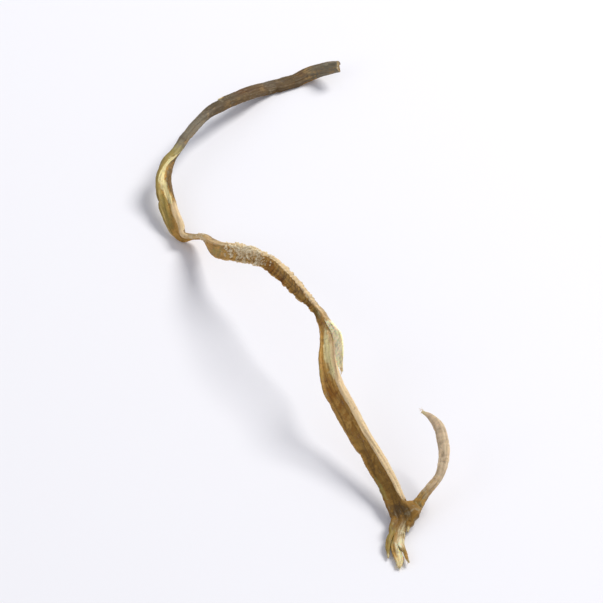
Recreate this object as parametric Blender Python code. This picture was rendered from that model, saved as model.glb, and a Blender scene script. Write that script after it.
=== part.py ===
"""A dried wakame stalk: one narrow strip cut along the stalk, which curled and twisted as it dried.

It lies on its lowest three places: near its cut end, at its sharp fold, and at its frayed end.
One closed body is swept along a route. Where the strip is torn lengthwise, a tine leaves it:
the outline of the strip is divided by a bridge, and each part goes on along a route of its own.
+X runs to the right, +Y to the back, and +Z up. The origin is on the surface that it lies on,
under the middle of its box.
"""

import math

import bpy
import numpy as np

MM = 0.001

# The strip from its cut end to its frayed end, in millimetres and degrees.
# The turn is how far its hollow face is turned away from the way that LOOK_UP gives.
# x, y, z of the middle, width, thickness, turn
STRIP = (
    (7.5, 28.8, 2.2, 1.10, 0.70, 150),
    (5.5, 29.3, 1.1, 1.20, 0.80, 150),
    (3.5, 28.55, 0.6, 1.20, 0.80, 148),
    (1.2, 27.3, 0.9, 1.20, 0.80, 145),
    (-0.8, 25.25, 1.9, 1.25, 0.80, 140),
    (-2.8, 23.2, 2.6, 1.20, 0.80, 130),
    (-4.4, 21.0, 3.0, 1.05, 0.75, 118),
    (-5.75, 18.6, 3.1, 1.05, 0.75, 104),
    (-6.6, 16.9, 2.9, 1.10, 0.75, 84),
    (-7.4, 15.4, 2.6, 1.25, 0.75, 45),
    (-7.75, 13.6, 2.2, 1.45, 0.75, 8),
    (-7.35, 11.2, 1.6, 1.60, 0.75, -8),
    (-6.6, 8.9, 1.2, 1.55, 0.70, -26),
    (-6.0, 7.85, 1.0, 1.40, 0.65, -60),
    (-5.2, 7.6, 1.2, 1.25, 0.50, -86),
    (-4.35, 6.7, 1.85, 1.25, 0.50, -84),
    (-3.4, 4.6, 2.7, 1.45, 0.75, -48),
    (-2.5, 3.1, 3.6, 1.50, 0.85, -16),
    (-1.2, 1.6, 4.7, 1.50, 0.85, -12),
    (0.15, 0.25, 5.5, 1.40, 0.85, -12),
    (1.6, -1.6, 6.35, 1.40, 0.85, -18),
    (2.75, -3.6, 6.85, 1.40, 0.85, -26),
    (4.1, -5.9, 7.05, 1.30, 0.85, -34),
    (5.35, -7.9, 7.05, 0.92, 0.78, -40),
    (6.2, -9.65, 6.75, 1.05, 0.80, -40),
    (6.45, -11.6, 6.4, 1.30, 0.85, -30),
    (6.45, -13.4, 5.9, 1.60, 0.85, -22),
    (6.95, -15.9, 5.0, 1.95, 0.85, -20),
    (8.05, -17.9, 4.1, 1.95, 0.85, -20),
    (9.35, -20.4, 3.2, 1.90, 0.85, -20),
    (10.55, -22.6, 2.5, 1.90, 0.85, -20),
    (11.65, -24.9, 1.9, 1.85, 0.85, -18),
    (12.4, -27.0, 1.45, 1.90, 0.85, -15),
    (12.9, -28.55, 1.15, 2.15, 0.80, -10),
    (12.55, -29.95, 0.95, 1.45, 0.75, -8),
    (12.4, -31.4, 0.75, 1.35, 0.65, -5),
    (12.6, -32.8, 0.6, 0.95, 0.50, -3),
    (12.65, -33.8, 0.5, 0.40, 0.35, 0),
)
LOOK_UP = math.radians(42.0)   # a turn of 0 looks to the front and this far up
TIP_LENGTH = 0.3               # of the point that closes the frayed end, in millimetres

# The outline across the strip: how square its sides and its flat back are (1 is an ellipse),
# how deep the hollow face is as a part of half the thickness, and how steeply it meets the rims.
SIDE_ROUNDNESS = 0.55
BACK_ROUNDNESS = 0.75
HOLLOW = 0.7
HOLLOW_STEEPNESS = 2.2
USUAL_WIDTH = 1.8
USUAL_THICKNESS = 0.85

# Each tine: the distance along the strip where it leaves, its side of the strip (1 is left of the
# way the strip runs), and where the tear lies from the middle (0) to the edge (1).
# Then x, y, z, width and thickness from the tear to its tip, in millimetres.
TINES = {
    "notch": (11.6, 1, 0.45, (
        (-2.4, 24.5, 2.35, 0.35, 0.40),
        (-3.0, 24.2, 2.35, 0.15, 0.20))),
    "flap": (53.0, 1, 0.45, (
        (6.75, -10.35, 7.2, 0.50, 0.45),
        (7.05, -11.1, 7.2, 0.75, 0.35),
        (7.38, -12.2, 7.18, 1.24, 0.26),
        (7.5, -13.5, 6.98, 1.32, 0.22),
        (7.6, -14.6, 6.6, 0.85, 0.18),
        (7.75, -15.4, 6.3, 0.15, 0.15))),
    "corner": (74.7, 1, 0.50, (
        (13.4, -29.4, 1.1, 0.40, 0.45),
        (13.35, -30.0, 1.0, 0.15, 0.20))),
    "left_tip": (76.2, -1, 0.45, (
        (11.75, -30.9, 0.85, 0.50, 0.45),
        (11.65, -31.8, 0.7, 0.45, 0.35),
        (11.7, -32.8, 0.55, 0.12, 0.15))),
    "right_tip": (77.4, 1, 0.20, (
        (13.1, -32.3, 0.8, 0.35, 0.45),
        (13.25, -33.0, 0.75, 0.30, 0.35),
        (13.45, -33.6, 0.75, 0.12, 0.18))),
}

# The arm leaves sideways, from the edge on the strip's left, between two distances along it.
ARM_FROM = 72.9
ARM_TO = 74.5
ARM_REACH = 2          # points of the outline that its root takes, up and down from the edge
# x, y, z, width and thickness of the arm from its root to its tip
ARM_ROUTE = (
    (14.15, -27.3, 1.6, 1.15, 0.75),
    (14.8, -26.55, 2.15, 0.90, 0.70),
    (15.5, -25.85, 2.7, 0.80, 0.65),
    (16.1, -25.2, 3.2, 0.80, 0.60),
    (16.4, -24.3, 3.75, 0.95, 0.55),
    (16.45, -23.2, 4.25, 1.05, 0.50),
    (16.3, -22.0, 4.65, 1.05, 0.45),
    (16.0, -20.9, 4.95, 0.95, 0.40),
    (15.4, -20.0, 5.1, 0.65, 0.35),
    (14.6, -19.3, 5.1, 0.20, 0.25),
)

AROUND = 16            # points around the strip
LONGEST_STEP = 1.1     # between two rings, in millimetres
BEND_STEP = 0.45       # and at most this part of the bend's radius
HEAL = 2.0             # length over which the strip rounds off after a tear, in millimetres
FINE = 0.05            # step used to measure the route, in millimetres
FINE_ANGLES = 1440     # steps used to measure the outline
TINY = 1e-6            # keeps a division by a straight run's bend finite

GOLDEN_BROWN = (0.36, 0.22, 0.08, 1.0)
ROUGHNESS = 0.55


def curve(knots, along, at):
    """Rows of a smooth curve through the knots, whose distances are along, at the distances at."""
    slopes = np.empty_like(knots)
    slopes[1:-1] = (knots[2:] - knots[:-2]) / (along[2:] - along[:-2])[:, None]
    slopes[0] = (knots[1] - knots[0]) / (along[1] - along[0])
    slopes[-1] = (knots[-1] - knots[-2]) / (along[-1] - along[-2])
    span = np.clip(np.searchsorted(along, at, side="right") - 1, 0, len(knots) - 2)
    length = (along[span + 1] - along[span])[:, None]
    part = (at - along[span])[:, None] / length
    rise = part * part * (3 - 2 * part)
    leave = part * (1 - part) ** 2
    arrive = part * part * (part - 1)
    return (knots[span] * (1 - rise) + knots[span + 1] * rise
            + length * (slopes[span] * leave + slopes[span + 1] * arrive))


def chord_lengths(points):
    steps = np.linalg.norm(np.diff(points, axis=0), axis=1)
    return np.concatenate([[0.0], np.cumsum(steps)])


def ring_distances(knots, along, stops=()):
    """Distances of the rings: closer in the bends, with one ring at each of the stops."""
    fine = np.arange(0.0, along[-1], FINE)
    points = curve(knots, along, fine)[:, :3]
    heading = np.gradient(points, FINE, axis=0)
    heading /= np.linalg.norm(heading, axis=1)[:, None]
    bend = np.linalg.norm(np.gradient(heading, FINE, axis=0), axis=1)
    step = np.minimum(LONGEST_STEP, BEND_STEP / np.maximum(bend, TINY))
    count = np.concatenate([[0.0], np.cumsum(FINE / step)[:-1]])
    places = []
    ends = [0.0, *stops, along[-1]]
    for low, high in zip(ends[:-1], ends[1:]):
        first, last = np.interp([low, high], fine, count)
        rings = max(2, math.ceil(last - first) + 1)
        places.extend(np.interp(np.linspace(first, last, rings), count, fine)[:-1])
    places.append(along[-1])
    for stop in stops:
        places[int(np.argmin(np.abs(np.array(places) - stop)))] = stop
    return np.array(places)


def frames(points, turns):
    """The heading, the way the hollow face looks, and the side direction at each point."""
    look = np.array([0.0, -math.cos(LOOK_UP), math.sin(LOOK_UP)])
    heading = np.gradient(points, axis=0)
    heading /= np.linalg.norm(heading, axis=1)[:, None]
    front = look - (heading @ look)[:, None] * heading
    front /= np.linalg.norm(front, axis=1)[:, None]
    left = np.cross(front, heading)
    turn = np.radians(turns)[:, None]
    face = np.cos(turn) * front + np.sin(turn) * left
    side = np.cos(turn) * left - np.sin(turn) * front
    return heading, face, side


def squared(value, roundness):
    return np.sign(value) * np.abs(value) ** roundness


def outline(angles, width, thickness):
    """The strip's section, across it and out of its face: a flat back, two rims and a hollow face."""
    side = squared(np.cos(angles), SIDE_ROUNDNESS)
    up = squared(np.sin(angles), BACK_ROUNDNESS)
    hollow = HOLLOW * (1 - np.abs(side) ** HOLLOW_STEEPNESS)
    up = np.where(up > 0, up * (1 - hollow), up)
    return np.stack([side * width / 2, up * thickness / 2], axis=1)


def even_angles(count):
    """Angles that space the points of the outline evenly."""
    fine = np.linspace(0.0, 2 * math.pi, FINE_ANGLES + 1)
    walked = chord_lengths(outline(fine, USUAL_WIDTH, USUAL_THICKNESS))
    return np.interp(np.linspace(0.0, walked[-1], count, endpoint=False), walked, fine)


def laid(flat, frame):
    """Points of an outline set in space, on a frame of middle, face direction and side direction."""
    middle, face, side = frame
    return middle + flat[:, :1] * side + flat[:, 1:] * face


class Body:
    """The points and faces of one closed surface."""

    def __init__(self):
        self.points = []
        self.faces = []

    def add_points(self, rows):
        first = len(self.points)
        self.points.extend(tuple(row) for row in rows)
        return list(range(first, len(self.points)))

    def join(self, loop, following, left_open=()):
        for k in range(len(loop)):
            if k not in left_open:
                after = (k + 1) % len(loop)
                self.faces.append((loop[k], loop[after], following[after], following[k]))

    def close(self, loop, tip, outward):
        middle = self.add_points([tip])[0]
        for k in range(len(loop)):
            pair = (loop[k], loop[(k + 1) % len(loop)])
            self.faces.append((*pair, middle) if outward else (*reversed(pair), middle))


def smooth_step(value):
    value = min(max(value, 0.0), 1.0)
    return value * value * (3 - 2 * value)


def part_loop(body, loop, flat, frame, side_of_strip, tear):
    """Part one ring of the strip by a bridge across it: the tine's loop and the strip's loop."""
    edge = np.abs(flat[:, 0]).max()
    outside = [k for k in range(len(loop)) if flat[k, 0] * side_of_strip > tear * edge]
    while (outside[0] - 1) % len(loop) in outside:
        outside = outside[-1:] + outside[:-1]
    first = (outside[0] - 1) % len(loop)
    last = (outside[-1] + 1) % len(loop)
    parts = np.linspace(0.0, 1.0, len(outside) + 2)[1:-1, None]
    bridge_flat = flat[first] * (1 - parts) + flat[last] * parts
    bridge = body.add_points(laid(bridge_flat, frame))
    tine_loop = [loop[first], *(loop[k] for k in outside), loop[last], *reversed(bridge)]
    tine_flat = np.vstack([flat[first], flat[outside], flat[last], bridge_flat[::-1]])
    strip_loop = list(loop)
    strip_flat = flat.copy()
    for k, point, row in zip(outside, bridge, bridge_flat):
        strip_loop[k] = point
        strip_flat[k] = row
    return tine_loop, tine_flat, strip_loop, strip_flat


def grow_tine(body, loop, flat, frame, route):
    """Sweep a tine from the loop where it leaves the strip to its thin tip."""
    middle = (flat.max(axis=0) + flat.min(axis=0)) / 2
    extent = flat.max(axis=0) - flat.min(axis=0)
    shape = (flat - middle) / extent
    start = laid(middle[None, :], frame)[0]
    face = frame[1]
    knots = np.vstack([[*start, *extent], route])
    along = chord_lengths(knots[:, :3])
    rows = curve(knots, along, ring_distances(knots, along))
    for k in range(1, len(rows)):
        heading = rows[k, :3] - rows[k - 1, :3]
        heading /= np.linalg.norm(heading)
        face = face - (face @ heading) * heading
        face /= np.linalg.norm(face)
        here = (rows[k, :3], face, np.cross(face, heading))
        following = body.add_points(laid(shape * rows[k, 3:], here))
        body.join(loop, following)
        loop = following
    body.close(loop, rows[-1, :3] + heading * rows[-1, 3], True)


def grow_arm(body, rings, heading, face):
    """Sweep the arm from the hole that the rings have in the strip's side."""
    top = [ring[ARM_REACH] for ring in rings]
    bottom = [ring[-ARM_REACH] for ring in rings]
    upper_end = [rings[0][k] for k in range(-ARM_REACH, ARM_REACH)]
    lower_end = [rings[-1][k] for k in range(ARM_REACH, -ARM_REACH, -1)]
    loop = [*upper_end, *top[:-1], *lower_end, *bottom[:0:-1]]
    points = np.array([body.points[k] for k in loop])
    middle = points.mean(axis=0)
    flat = np.stack([(middle - points) @ heading, (points - middle) @ face], axis=1)
    grow_tine(body, loop, flat, (middle, face, -heading), np.array(ARM_ROUTE))


def make_strip():
    body = Body()
    knots = np.array(STRIP)
    along = chord_lengths(knots[:, :3])
    tears = sorted(TINES.values(), key=lambda tine: tine[0])
    places = ring_distances(knots, along, sorted([*(tine[0] for tine in tears), ARM_FROM, ARM_TO]))
    rows = curve(knots, along, places)
    heading, face, side = frames(rows[:, :3], rows[:, 5])
    angles = even_angles(AROUND)
    loop = None
    torn_at = -HEAL
    torn_flat = np.zeros((AROUND, 2))
    arm_side = [k % AROUND for k in range(-ARM_REACH, ARM_REACH)]
    arm_rings = []
    for k, (width, thickness) in enumerate(rows[:, 3:5]):
        frame = (rows[k, :3], face[k], side[k])
        healed = smooth_step((places[k] - torn_at) / HEAL)
        flat = outline(angles, width, thickness) * healed + torn_flat * (1 - healed)
        following = body.add_points(laid(flat, frame))
        if loop is None:
            body.close(following, rows[k, :3], False)
        else:
            body.join(loop, following, arm_side if ARM_FROM < places[k] <= ARM_TO else ())
        loop = following
        if ARM_FROM <= places[k] <= ARM_TO:
            arm_rings.append(loop)
        if places[k] == ARM_TO:
            grow_arm(body, arm_rings, heading[k - 1], face[k - 1])
        for leaves, side_of_strip, tear, route in tears:
            if leaves == places[k]:
                tine_loop, tine_flat, loop, flat = part_loop(body, loop, flat, frame, side_of_strip, tear)
                grow_tine(body, tine_loop, tine_flat, frame, np.array(route))
                torn_at = places[k]
                torn_flat = flat
    body.close(loop, rows[-1, :3] + heading[-1] * TIP_LENGTH, True)
    return body


def centred(points):
    """Points with the origin under the middle of their box, and the lowest of them at 0."""
    points = np.array(points)
    low = points.min(axis=0)
    high = points.max(axis=0)
    return points - [(low[0] + high[0]) / 2, (low[1] + high[1]) / 2, low[2]]


def dried_skin():
    material = bpy.data.materials.new("dried_stalk")
    material.use_nodes = True
    shader = material.node_tree.nodes["Principled BSDF"]
    shader.inputs["Base Color"].default_value = GOLDEN_BROWN
    shader.inputs["Roughness"].default_value = ROUGHNESS
    shader.inputs["Metallic"].default_value = 0.0
    return material


def main():
    for thing in list(bpy.data.objects):
        bpy.data.objects.remove(thing, do_unlink=True)
    body = make_strip()
    mesh = bpy.data.meshes.new("stalk")
    mesh.from_pydata((centred(body.points) * MM).tolist(), [], body.faces)
    mesh.materials.append(dried_skin())
    mesh.shade_smooth()
    stalk = bpy.data.objects.new("stalk", mesh)
    bpy.context.scene.collection.objects.link(stalk)
    print("rings and tines:", len(body.points), "points,", len(body.faces), "faces")


main()
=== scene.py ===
# %% [markdown]
# # A dried wakame stalk
#
# The object is one strip, cut lengthwise from the stalk of a brown seaweed, salted and dried. As the
# water left it, the strip curled into a hook, folded over on itself, arched and split at its end.
# It is 64 mm long as it lies, about 2 mm wide and less than 1 mm thick.
#
# The plan of this lesson: sweep an outline along the strip's route, model the wrinkles and rims in
# the surface itself, add the torn fibres and the salt, and then build the finishes from nodes.

# %% Load the model that the looks are built around
import itertools
import math
import random

import bpy
import numpy as np
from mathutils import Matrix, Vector, noise


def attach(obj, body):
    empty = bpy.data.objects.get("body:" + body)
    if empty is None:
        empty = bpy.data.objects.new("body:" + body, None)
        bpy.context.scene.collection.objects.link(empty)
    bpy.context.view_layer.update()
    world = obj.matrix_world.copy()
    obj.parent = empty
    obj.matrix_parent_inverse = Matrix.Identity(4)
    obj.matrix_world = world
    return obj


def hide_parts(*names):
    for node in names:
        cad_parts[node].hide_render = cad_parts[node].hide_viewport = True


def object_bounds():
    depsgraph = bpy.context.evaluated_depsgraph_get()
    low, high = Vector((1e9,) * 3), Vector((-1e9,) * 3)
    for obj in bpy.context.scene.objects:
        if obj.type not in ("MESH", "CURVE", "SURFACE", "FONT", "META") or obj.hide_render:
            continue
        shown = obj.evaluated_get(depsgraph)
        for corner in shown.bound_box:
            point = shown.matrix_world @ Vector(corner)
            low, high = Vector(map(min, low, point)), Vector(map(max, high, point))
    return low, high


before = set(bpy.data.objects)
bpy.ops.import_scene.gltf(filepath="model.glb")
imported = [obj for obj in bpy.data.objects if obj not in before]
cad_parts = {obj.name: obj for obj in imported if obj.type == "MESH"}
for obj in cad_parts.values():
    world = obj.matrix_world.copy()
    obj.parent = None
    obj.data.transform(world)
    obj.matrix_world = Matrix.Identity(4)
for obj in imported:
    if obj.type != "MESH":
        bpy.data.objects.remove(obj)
cad_low, cad_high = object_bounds()
MM = 0.001
print("size in mm:", [round((high - low) / MM, 2) for low, high in zip(cad_low, cad_high)])

# %% [markdown]
# ## The route of the strip
#
# The strip has a route that no formula gives, so it is a list of given places, the same that the solid
# model is built on. Each row also says how wide and thick the strip is there, and how far it has
# twisted: a turn of 0 has its hollow face towards the front and 42 degrees up.
# A tear runs lengthwise, and what comes off the strip there, a tine, has a short route of its own.
# Near the frayed end an arm springs from the strip's edge.

# %% Places along the strip, in millimetres and degrees
# x, y, z of the middle, width, thickness, turn
STRIP = (
    (7.5, 28.8, 2.2, 1.10, 0.70, 150),
    (5.5, 29.3, 1.1, 1.20, 0.80, 150),
    (3.5, 28.55, 0.6, 1.20, 0.80, 148),
    (1.2, 27.3, 0.9, 1.20, 0.80, 145),
    (-0.8, 25.25, 1.9, 1.25, 0.80, 140),
    (-2.8, 23.2, 2.6, 1.20, 0.80, 130),
    (-4.4, 21.0, 3.0, 1.05, 0.75, 118),
    (-5.75, 18.6, 3.1, 1.05, 0.75, 104),
    (-6.6, 16.9, 2.9, 1.10, 0.75, 84),
    (-7.4, 15.4, 2.6, 1.25, 0.75, 45),
    (-7.75, 13.6, 2.2, 1.45, 0.75, 8),
    (-7.35, 11.2, 1.6, 1.60, 0.75, -8),
    (-6.6, 8.9, 1.2, 1.55, 0.70, -26),
    (-6.0, 7.85, 1.0, 1.40, 0.65, -60),
    (-5.2, 7.6, 1.2, 1.25, 0.50, -86),
    (-4.35, 6.7, 1.85, 1.25, 0.50, -84),
    (-3.4, 4.6, 2.7, 1.45, 0.75, -48),
    (-2.5, 3.1, 3.6, 1.50, 0.85, -16),
    (-1.2, 1.6, 4.7, 1.50, 0.85, -12),
    (0.15, 0.25, 5.5, 1.40, 0.85, -12),
    (1.6, -1.6, 6.35, 1.40, 0.85, -18),
    (2.75, -3.6, 6.85, 1.40, 0.85, -26),
    (4.1, -5.9, 7.05, 1.30, 0.85, -34),
    (5.35, -7.9, 7.05, 0.92, 0.78, -40),
    (6.2, -9.65, 6.75, 1.05, 0.80, -40),
    (6.45, -11.6, 6.4, 1.30, 0.85, -30),
    (6.45, -13.4, 5.9, 1.60, 0.85, -22),
    (6.95, -15.9, 5.0, 1.95, 0.85, -20),
    (8.05, -17.9, 4.1, 1.95, 0.85, -20),
    (9.35, -20.4, 3.2, 1.90, 0.85, -20),
    (10.55, -22.6, 2.5, 1.90, 0.85, -20),
    (11.65, -24.9, 1.9, 1.85, 0.85, -18),
    (12.4, -27.0, 1.45, 1.90, 0.85, -15),
    (12.9, -28.55, 1.15, 2.15, 0.80, -10),
    (12.55, -29.95, 0.95, 1.45, 0.75, -8),
    (12.4, -31.4, 0.75, 1.35, 0.65, -5),
    (12.6, -32.8, 0.6, 0.95, 0.50, -3),
    (12.65, -33.8, 0.5, 0.40, 0.35, 0),
)
LOOK_UP = math.radians(42.0)
ORIGIN = np.array([4.2658, -2.1105, 0.2829])   # the model's origin, measured on the route's own axes

# Each tine: the distance along the strip where it leaves, its side of the strip (1 is left of the
# way the strip runs), and where the tear lies from the middle (0) to the edge (1).
# Then x, y, z, width and thickness from the tear to its tip.
TINES = {
    "notch": (11.6, 1, 0.45, (
        (-2.4, 24.5, 2.35, 0.35, 0.40),
        (-3.0, 24.2, 2.35, 0.15, 0.20))),
    "flap": (53.0, 1, 0.45, (
        (6.75, -10.35, 7.2, 0.50, 0.45),
        (7.05, -11.1, 7.2, 0.75, 0.35),
        (7.38, -12.2, 7.18, 1.24, 0.26),
        (7.5, -13.5, 6.98, 1.32, 0.22),
        (7.6, -14.6, 6.6, 0.85, 0.18),
        (7.75, -15.4, 6.3, 0.15, 0.15))),
    "corner": (74.7, 1, 0.50, (
        (13.4, -29.4, 1.1, 0.40, 0.45),
        (13.35, -30.0, 1.0, 0.15, 0.20))),
    "left_tip": (76.2, -1, 0.45, (
        (11.75, -30.9, 0.85, 0.50, 0.45),
        (11.65, -31.8, 0.7, 0.45, 0.35),
        (11.7, -32.8, 0.55, 0.12, 0.15))),
    "right_tip": (77.4, 1, 0.20, (
        (13.1, -32.3, 0.8, 0.35, 0.45),
        (13.25, -33.0, 0.75, 0.30, 0.35),
        (13.45, -33.6, 0.75, 0.12, 0.18))),
}

# The arm leaves sideways, from the edge on the strip's left, between two distances along it
ARM_FROM = 72.9
ARM_TO = 74.5
ARM_ROUTE = (
    (14.15, -27.3, 1.6, 1.15, 0.75),
    (14.8, -26.55, 2.15, 0.90, 0.70),
    (15.5, -25.85, 2.7, 0.80, 0.65),
    (16.1, -25.2, 3.2, 0.80, 0.60),
    (16.4, -24.3, 3.75, 0.95, 0.55),
    (16.45, -23.2, 4.25, 1.05, 0.50),
    (16.3, -22.0, 4.65, 1.05, 0.45),
    (16.0, -20.9, 4.95, 0.95, 0.40),
    (15.4, -20.0, 5.1, 0.65, 0.35),
    (14.6, -19.3, 5.1, 0.20, 0.25),
)


def chord_lengths(points):
    """How far each point is from the first, measured from point to point."""
    steps = np.linalg.norm(np.diff(points, axis=0), axis=1)
    return np.concatenate([[0.0], np.cumsum(steps)])


ROUTE = np.array(STRIP)
ALONG = chord_lengths(ROUTE[:, :3])
print("the strip measures", round(ALONG[-1], 1), "mm along its middle")

# %% [markdown]
# ## A smooth curve through the places
#
# Straight runs between the places would look like bent wire. A cubic curve passes through every
# place with one heading, and it carries the width, the thickness and the turn along with it.
# The frames say, at every point of the curve, which way the strip runs, which way its hollow face
# looks, and which way is across.

# %% Curve and frames
RING_STEP = 0.088     # from one ring of points to the next, fine enough to hold a wrinkle
WIDTH, THICKNESS, TURN = 3, 4, 5


def curve(knots, along, at):
    """Rows of a smooth curve through the knots, whose distances are along, at the distances at."""
    slopes = np.empty_like(knots)
    slopes[1:-1] = (knots[2:] - knots[:-2]) / (along[2:] - along[:-2])[:, None]
    slopes[0] = (knots[1] - knots[0]) / (along[1] - along[0])
    slopes[-1] = (knots[-1] - knots[-2]) / (along[-1] - along[-2])
    span = np.clip(np.searchsorted(along, at, side="right") - 1, 0, len(knots) - 2)
    length = (along[span + 1] - along[span])[:, None]
    part = (at - along[span])[:, None] / length
    rise = part * part * (3 - 2 * part)
    leave = part * (1 - part) ** 2
    arrive = part * part * (part - 1)
    return (knots[span] * (1 - rise) + knots[span + 1] * rise
            + length * (slopes[span] * leave + slopes[span + 1] * arrive))


def ring_distances(length, stops=()):
    """Even distances from 0 to the length, with a ring exactly at each stop."""
    ends = [0.0, *stops, length]
    places = [0.0]
    for low, high in zip(ends[:-1], ends[1:]):
        rings = max(2, math.ceil((high - low) / RING_STEP))
        places.extend(np.linspace(low, high, rings + 1)[1:])
    return np.array(places)


def frames(points, turns):
    """The heading, the way the hollow face looks, and the side direction at each point."""
    look = np.array([0.0, -math.cos(LOOK_UP), math.sin(LOOK_UP)])
    heading = np.gradient(points, axis=0)
    heading /= np.linalg.norm(heading, axis=1)[:, None]
    front = look - (heading @ look)[:, None] * heading
    front /= np.linalg.norm(front, axis=1)[:, None]
    left = np.cross(front, heading)
    turn = np.radians(turns)[:, None]
    face = np.cos(turn) * front + np.sin(turn) * left
    side = np.cos(turn) * left - np.sin(turn) * front
    return heading, face, side


RINGS = ring_distances(ALONG[-1], sorted([*(tine[0] for tine in TINES.values()), ARM_FROM, ARM_TO]))
print(len(RINGS), "rings along the strip")

# %% [markdown]
# ## The outline across the strip
#
# The strip is a slice of a stalk that was round. Its back is the old skin and stays nearly flat.
# Its face is the soft core, which shrank most and left a channel between two thick rims.
# The outline could be drawn by hand for each ring. A formula with a few numbers is easier to steer:
# how deep the channel is, and how much of the width each rim takes, at stations along the strip.

# %% Outline with a channel and two rims
AROUND = 80            # points around the strip, half on its face and half on its back
SIDE_ROUNDNESS = 0.55  # 1 would be an ellipse, and less is squarer
BACK_ROUNDNESS = 0.75
WALL_STEEPNESS = 4.5   # of the channel's walls
USUAL = (63.0, 2.0, 0.85)   # distance, width and thickness where the outline is typical
FINE_STEPS = 721       # steps in which a half outline is measured

# Left and right are as seen along the way the strip runs. Each row gives the distance, the depth of
# the channel (1 reaches the middle of the thickness), the widths of the left and the right rim in
# millimetres, how lumpy the rims are, how strong the ribs across the face are, how pale the left
# and the right rim are, and how dark the face is.
STATIONS = np.array((
    (0, 0.45, 0.20, 0.18, 0.2, 0.0, 0.05, 0.0, 0.5),
    (18, 0.45, 0.22, 0.20, 0.2, 0.0, 0.05, 0.0, 0.5),
    (20, 0.25, 0.30, 0.25, 0.2, 0.0, 0.0, 0.1, 0.4),
    (23, 0.45, 0.24, 0.40, 0.2, 0.1, 0.0, 0.3, 0.3),
    (25, 0.40, 0.30, 0.30, 0.2, 0.1, 0.0, 0.1, 0.3),
    (26.4, 0.40, 0.50, 0.20, 0.2, 0.1, 0.2, 0.1, 0.3),
    (27.4, 0.45, 0.52, 0.20, 0.2, 0.1, 0.8, 0.1, 0.3),
    (28, 0.50, 0.54, 0.20, 0.2, 0.1, 0.8, 0.2, 0.3),
    (30, 0.50, 0.36, 0.18, 0.2, 0.1, 0.7, 0.5, 0.3),
    (31, 0.50, 0.24, 0.18, 0.2, 0.0, 0.6, 0.4, 0.3),
    (33, 0.50, 0.24, 0.18, 0.3, 0.0, 0.5, 0.2, 0.3),
    (35, 0.55, 0.20, 0.16, 0.4, 0.2, 0.4, 0.3, 0.3),
    (38, 0.55, 0.24, 0.16, 0.6, 0.3, 0.6, 0.3, 0.2),
    (41, 0.60, 0.26, 0.16, 0.8, 0.4, 0.9, 0.4, 0.2),
    (44, 0.75, 0.22, 0.16, 1.2, 1.2, 1.0, 0.2, 0.2),
    (47, 0.85, 0.20, 0.16, 1.3, 1.9, 1.0, 0.2, 0.3),
    (50, 0.80, 0.20, 0.18, 1.2, 1.8, 0.8, 0.3, 0.3),
    (53, 0.50, 0.20, 0.20, 0.6, 0.4, 0.45, 0.4, 0.2),
    (56, 0.25, 0.34, 0.26, 0.5, 0.2, 0.7, 0.2, 0.0),
    (59, 0.55, 0.46, 0.24, 0.3, 0.1, 1.0, 0.1, 0.15),
    (63, 0.65, 0.46, 0.20, 0.3, 0.15, 1.0, 0.15, 0.4),
    (68, 0.65, 0.44, 0.20, 0.4, 0.4, 1.0, 0.2, 0.7),
    (72, 0.60, 0.38, 0.20, 0.4, 0.35, 0.8, 0.1, 0.9),
    (73.4, 0.50, 0.22, 0.18, 0.4, 0.3, 0.2, 0.1, 0.9),
    (75, 0.50, 0.18, 0.18, 0.5, 0.3, 0.1, 0.1, 1.0),
    (77, 0.50, 0.16, 0.16, 0.5, 0.1, 0.2, 0.1, 0.6),
    (80, 0.40, 0.14, 0.14, 0.5, 0.0, 0.3, 0.3, 0.2),
))
DEPTH, RIM_LEFT, RIM_RIGHT, LUMPS, RIBS, PALE_LEFT, PALE_RIGHT, SHADE = range(1, 9)
NARROWEST_CHANNEL = 0.2   # as a part of half the width


def station(column, distance):
    """What that column of the stations says at the distance, also between two rows."""
    return np.interp(distance, STATIONS[:, 0], STATIONS[:, column])


def squared(value, roundness):
    """A sine or cosine pushed towards the corners of a square, with its sign kept."""
    return np.sign(value) * np.abs(value) ** roundness


def outline(angles, distance, width, thickness):
    """Points around the strip, in millimetres across it and out of its face."""
    across = squared(np.cos(angles), SIDE_ROUNDNESS)
    up = squared(np.sin(angles), BACK_ROUNDNESS)
    low = -1 + station(RIM_RIGHT, distance) / (width / 2)
    high = 1 - station(RIM_LEFT, distance) / (width / 2)
    from_middle = (across - (low + high) / 2) / max((high - low) / 2, NARROWEST_CHANNEL)
    channel = station(DEPTH, distance) * np.clip(1 - np.abs(from_middle) ** WALL_STEEPNESS, 0, 1)
    up = np.where(up > 0, up * (1 - channel), up)
    return np.stack([across * width / 2, up * thickness / 2], axis=1)


def even_angles(count):
    """Angles that space the points evenly over the face, and evenly over the back."""
    halves = []
    for start in (0.0, math.pi):
        fine = np.linspace(start, start + math.pi, FINE_STEPS)
        walked = chord_lengths(outline(fine, *USUAL))
        halves.append(np.interp(np.linspace(0, walked[-1], count // 2, endpoint=False), walked, fine))
    return np.concatenate(halves)


ANGLES = even_angles(AROUND)
print(AROUND, "points around,", round(chord_lengths(outline(ANGLES, *USUAL))[-1], 2), "mm around")

# %% [markdown]
# ## Wrinkles, ribs and creases in the surface itself
#
# Drying leaves long wrinkles, because the fibres of the stalk run lengthwise and don't shrink that
# way. Where the strip bends, its core also puckers into short ribs across. A bump map could fake
# both, but the outline and the exported mesh would stay smooth. So the points themselves move.
# Each point has a place on the straightened strip: how far along, across and up. Noise that is read
# there and stretched one way follows every twist. Folded at its middle, it gives soft cords with
# sharp creases between them, which is how a dried stalk looks.

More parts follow.
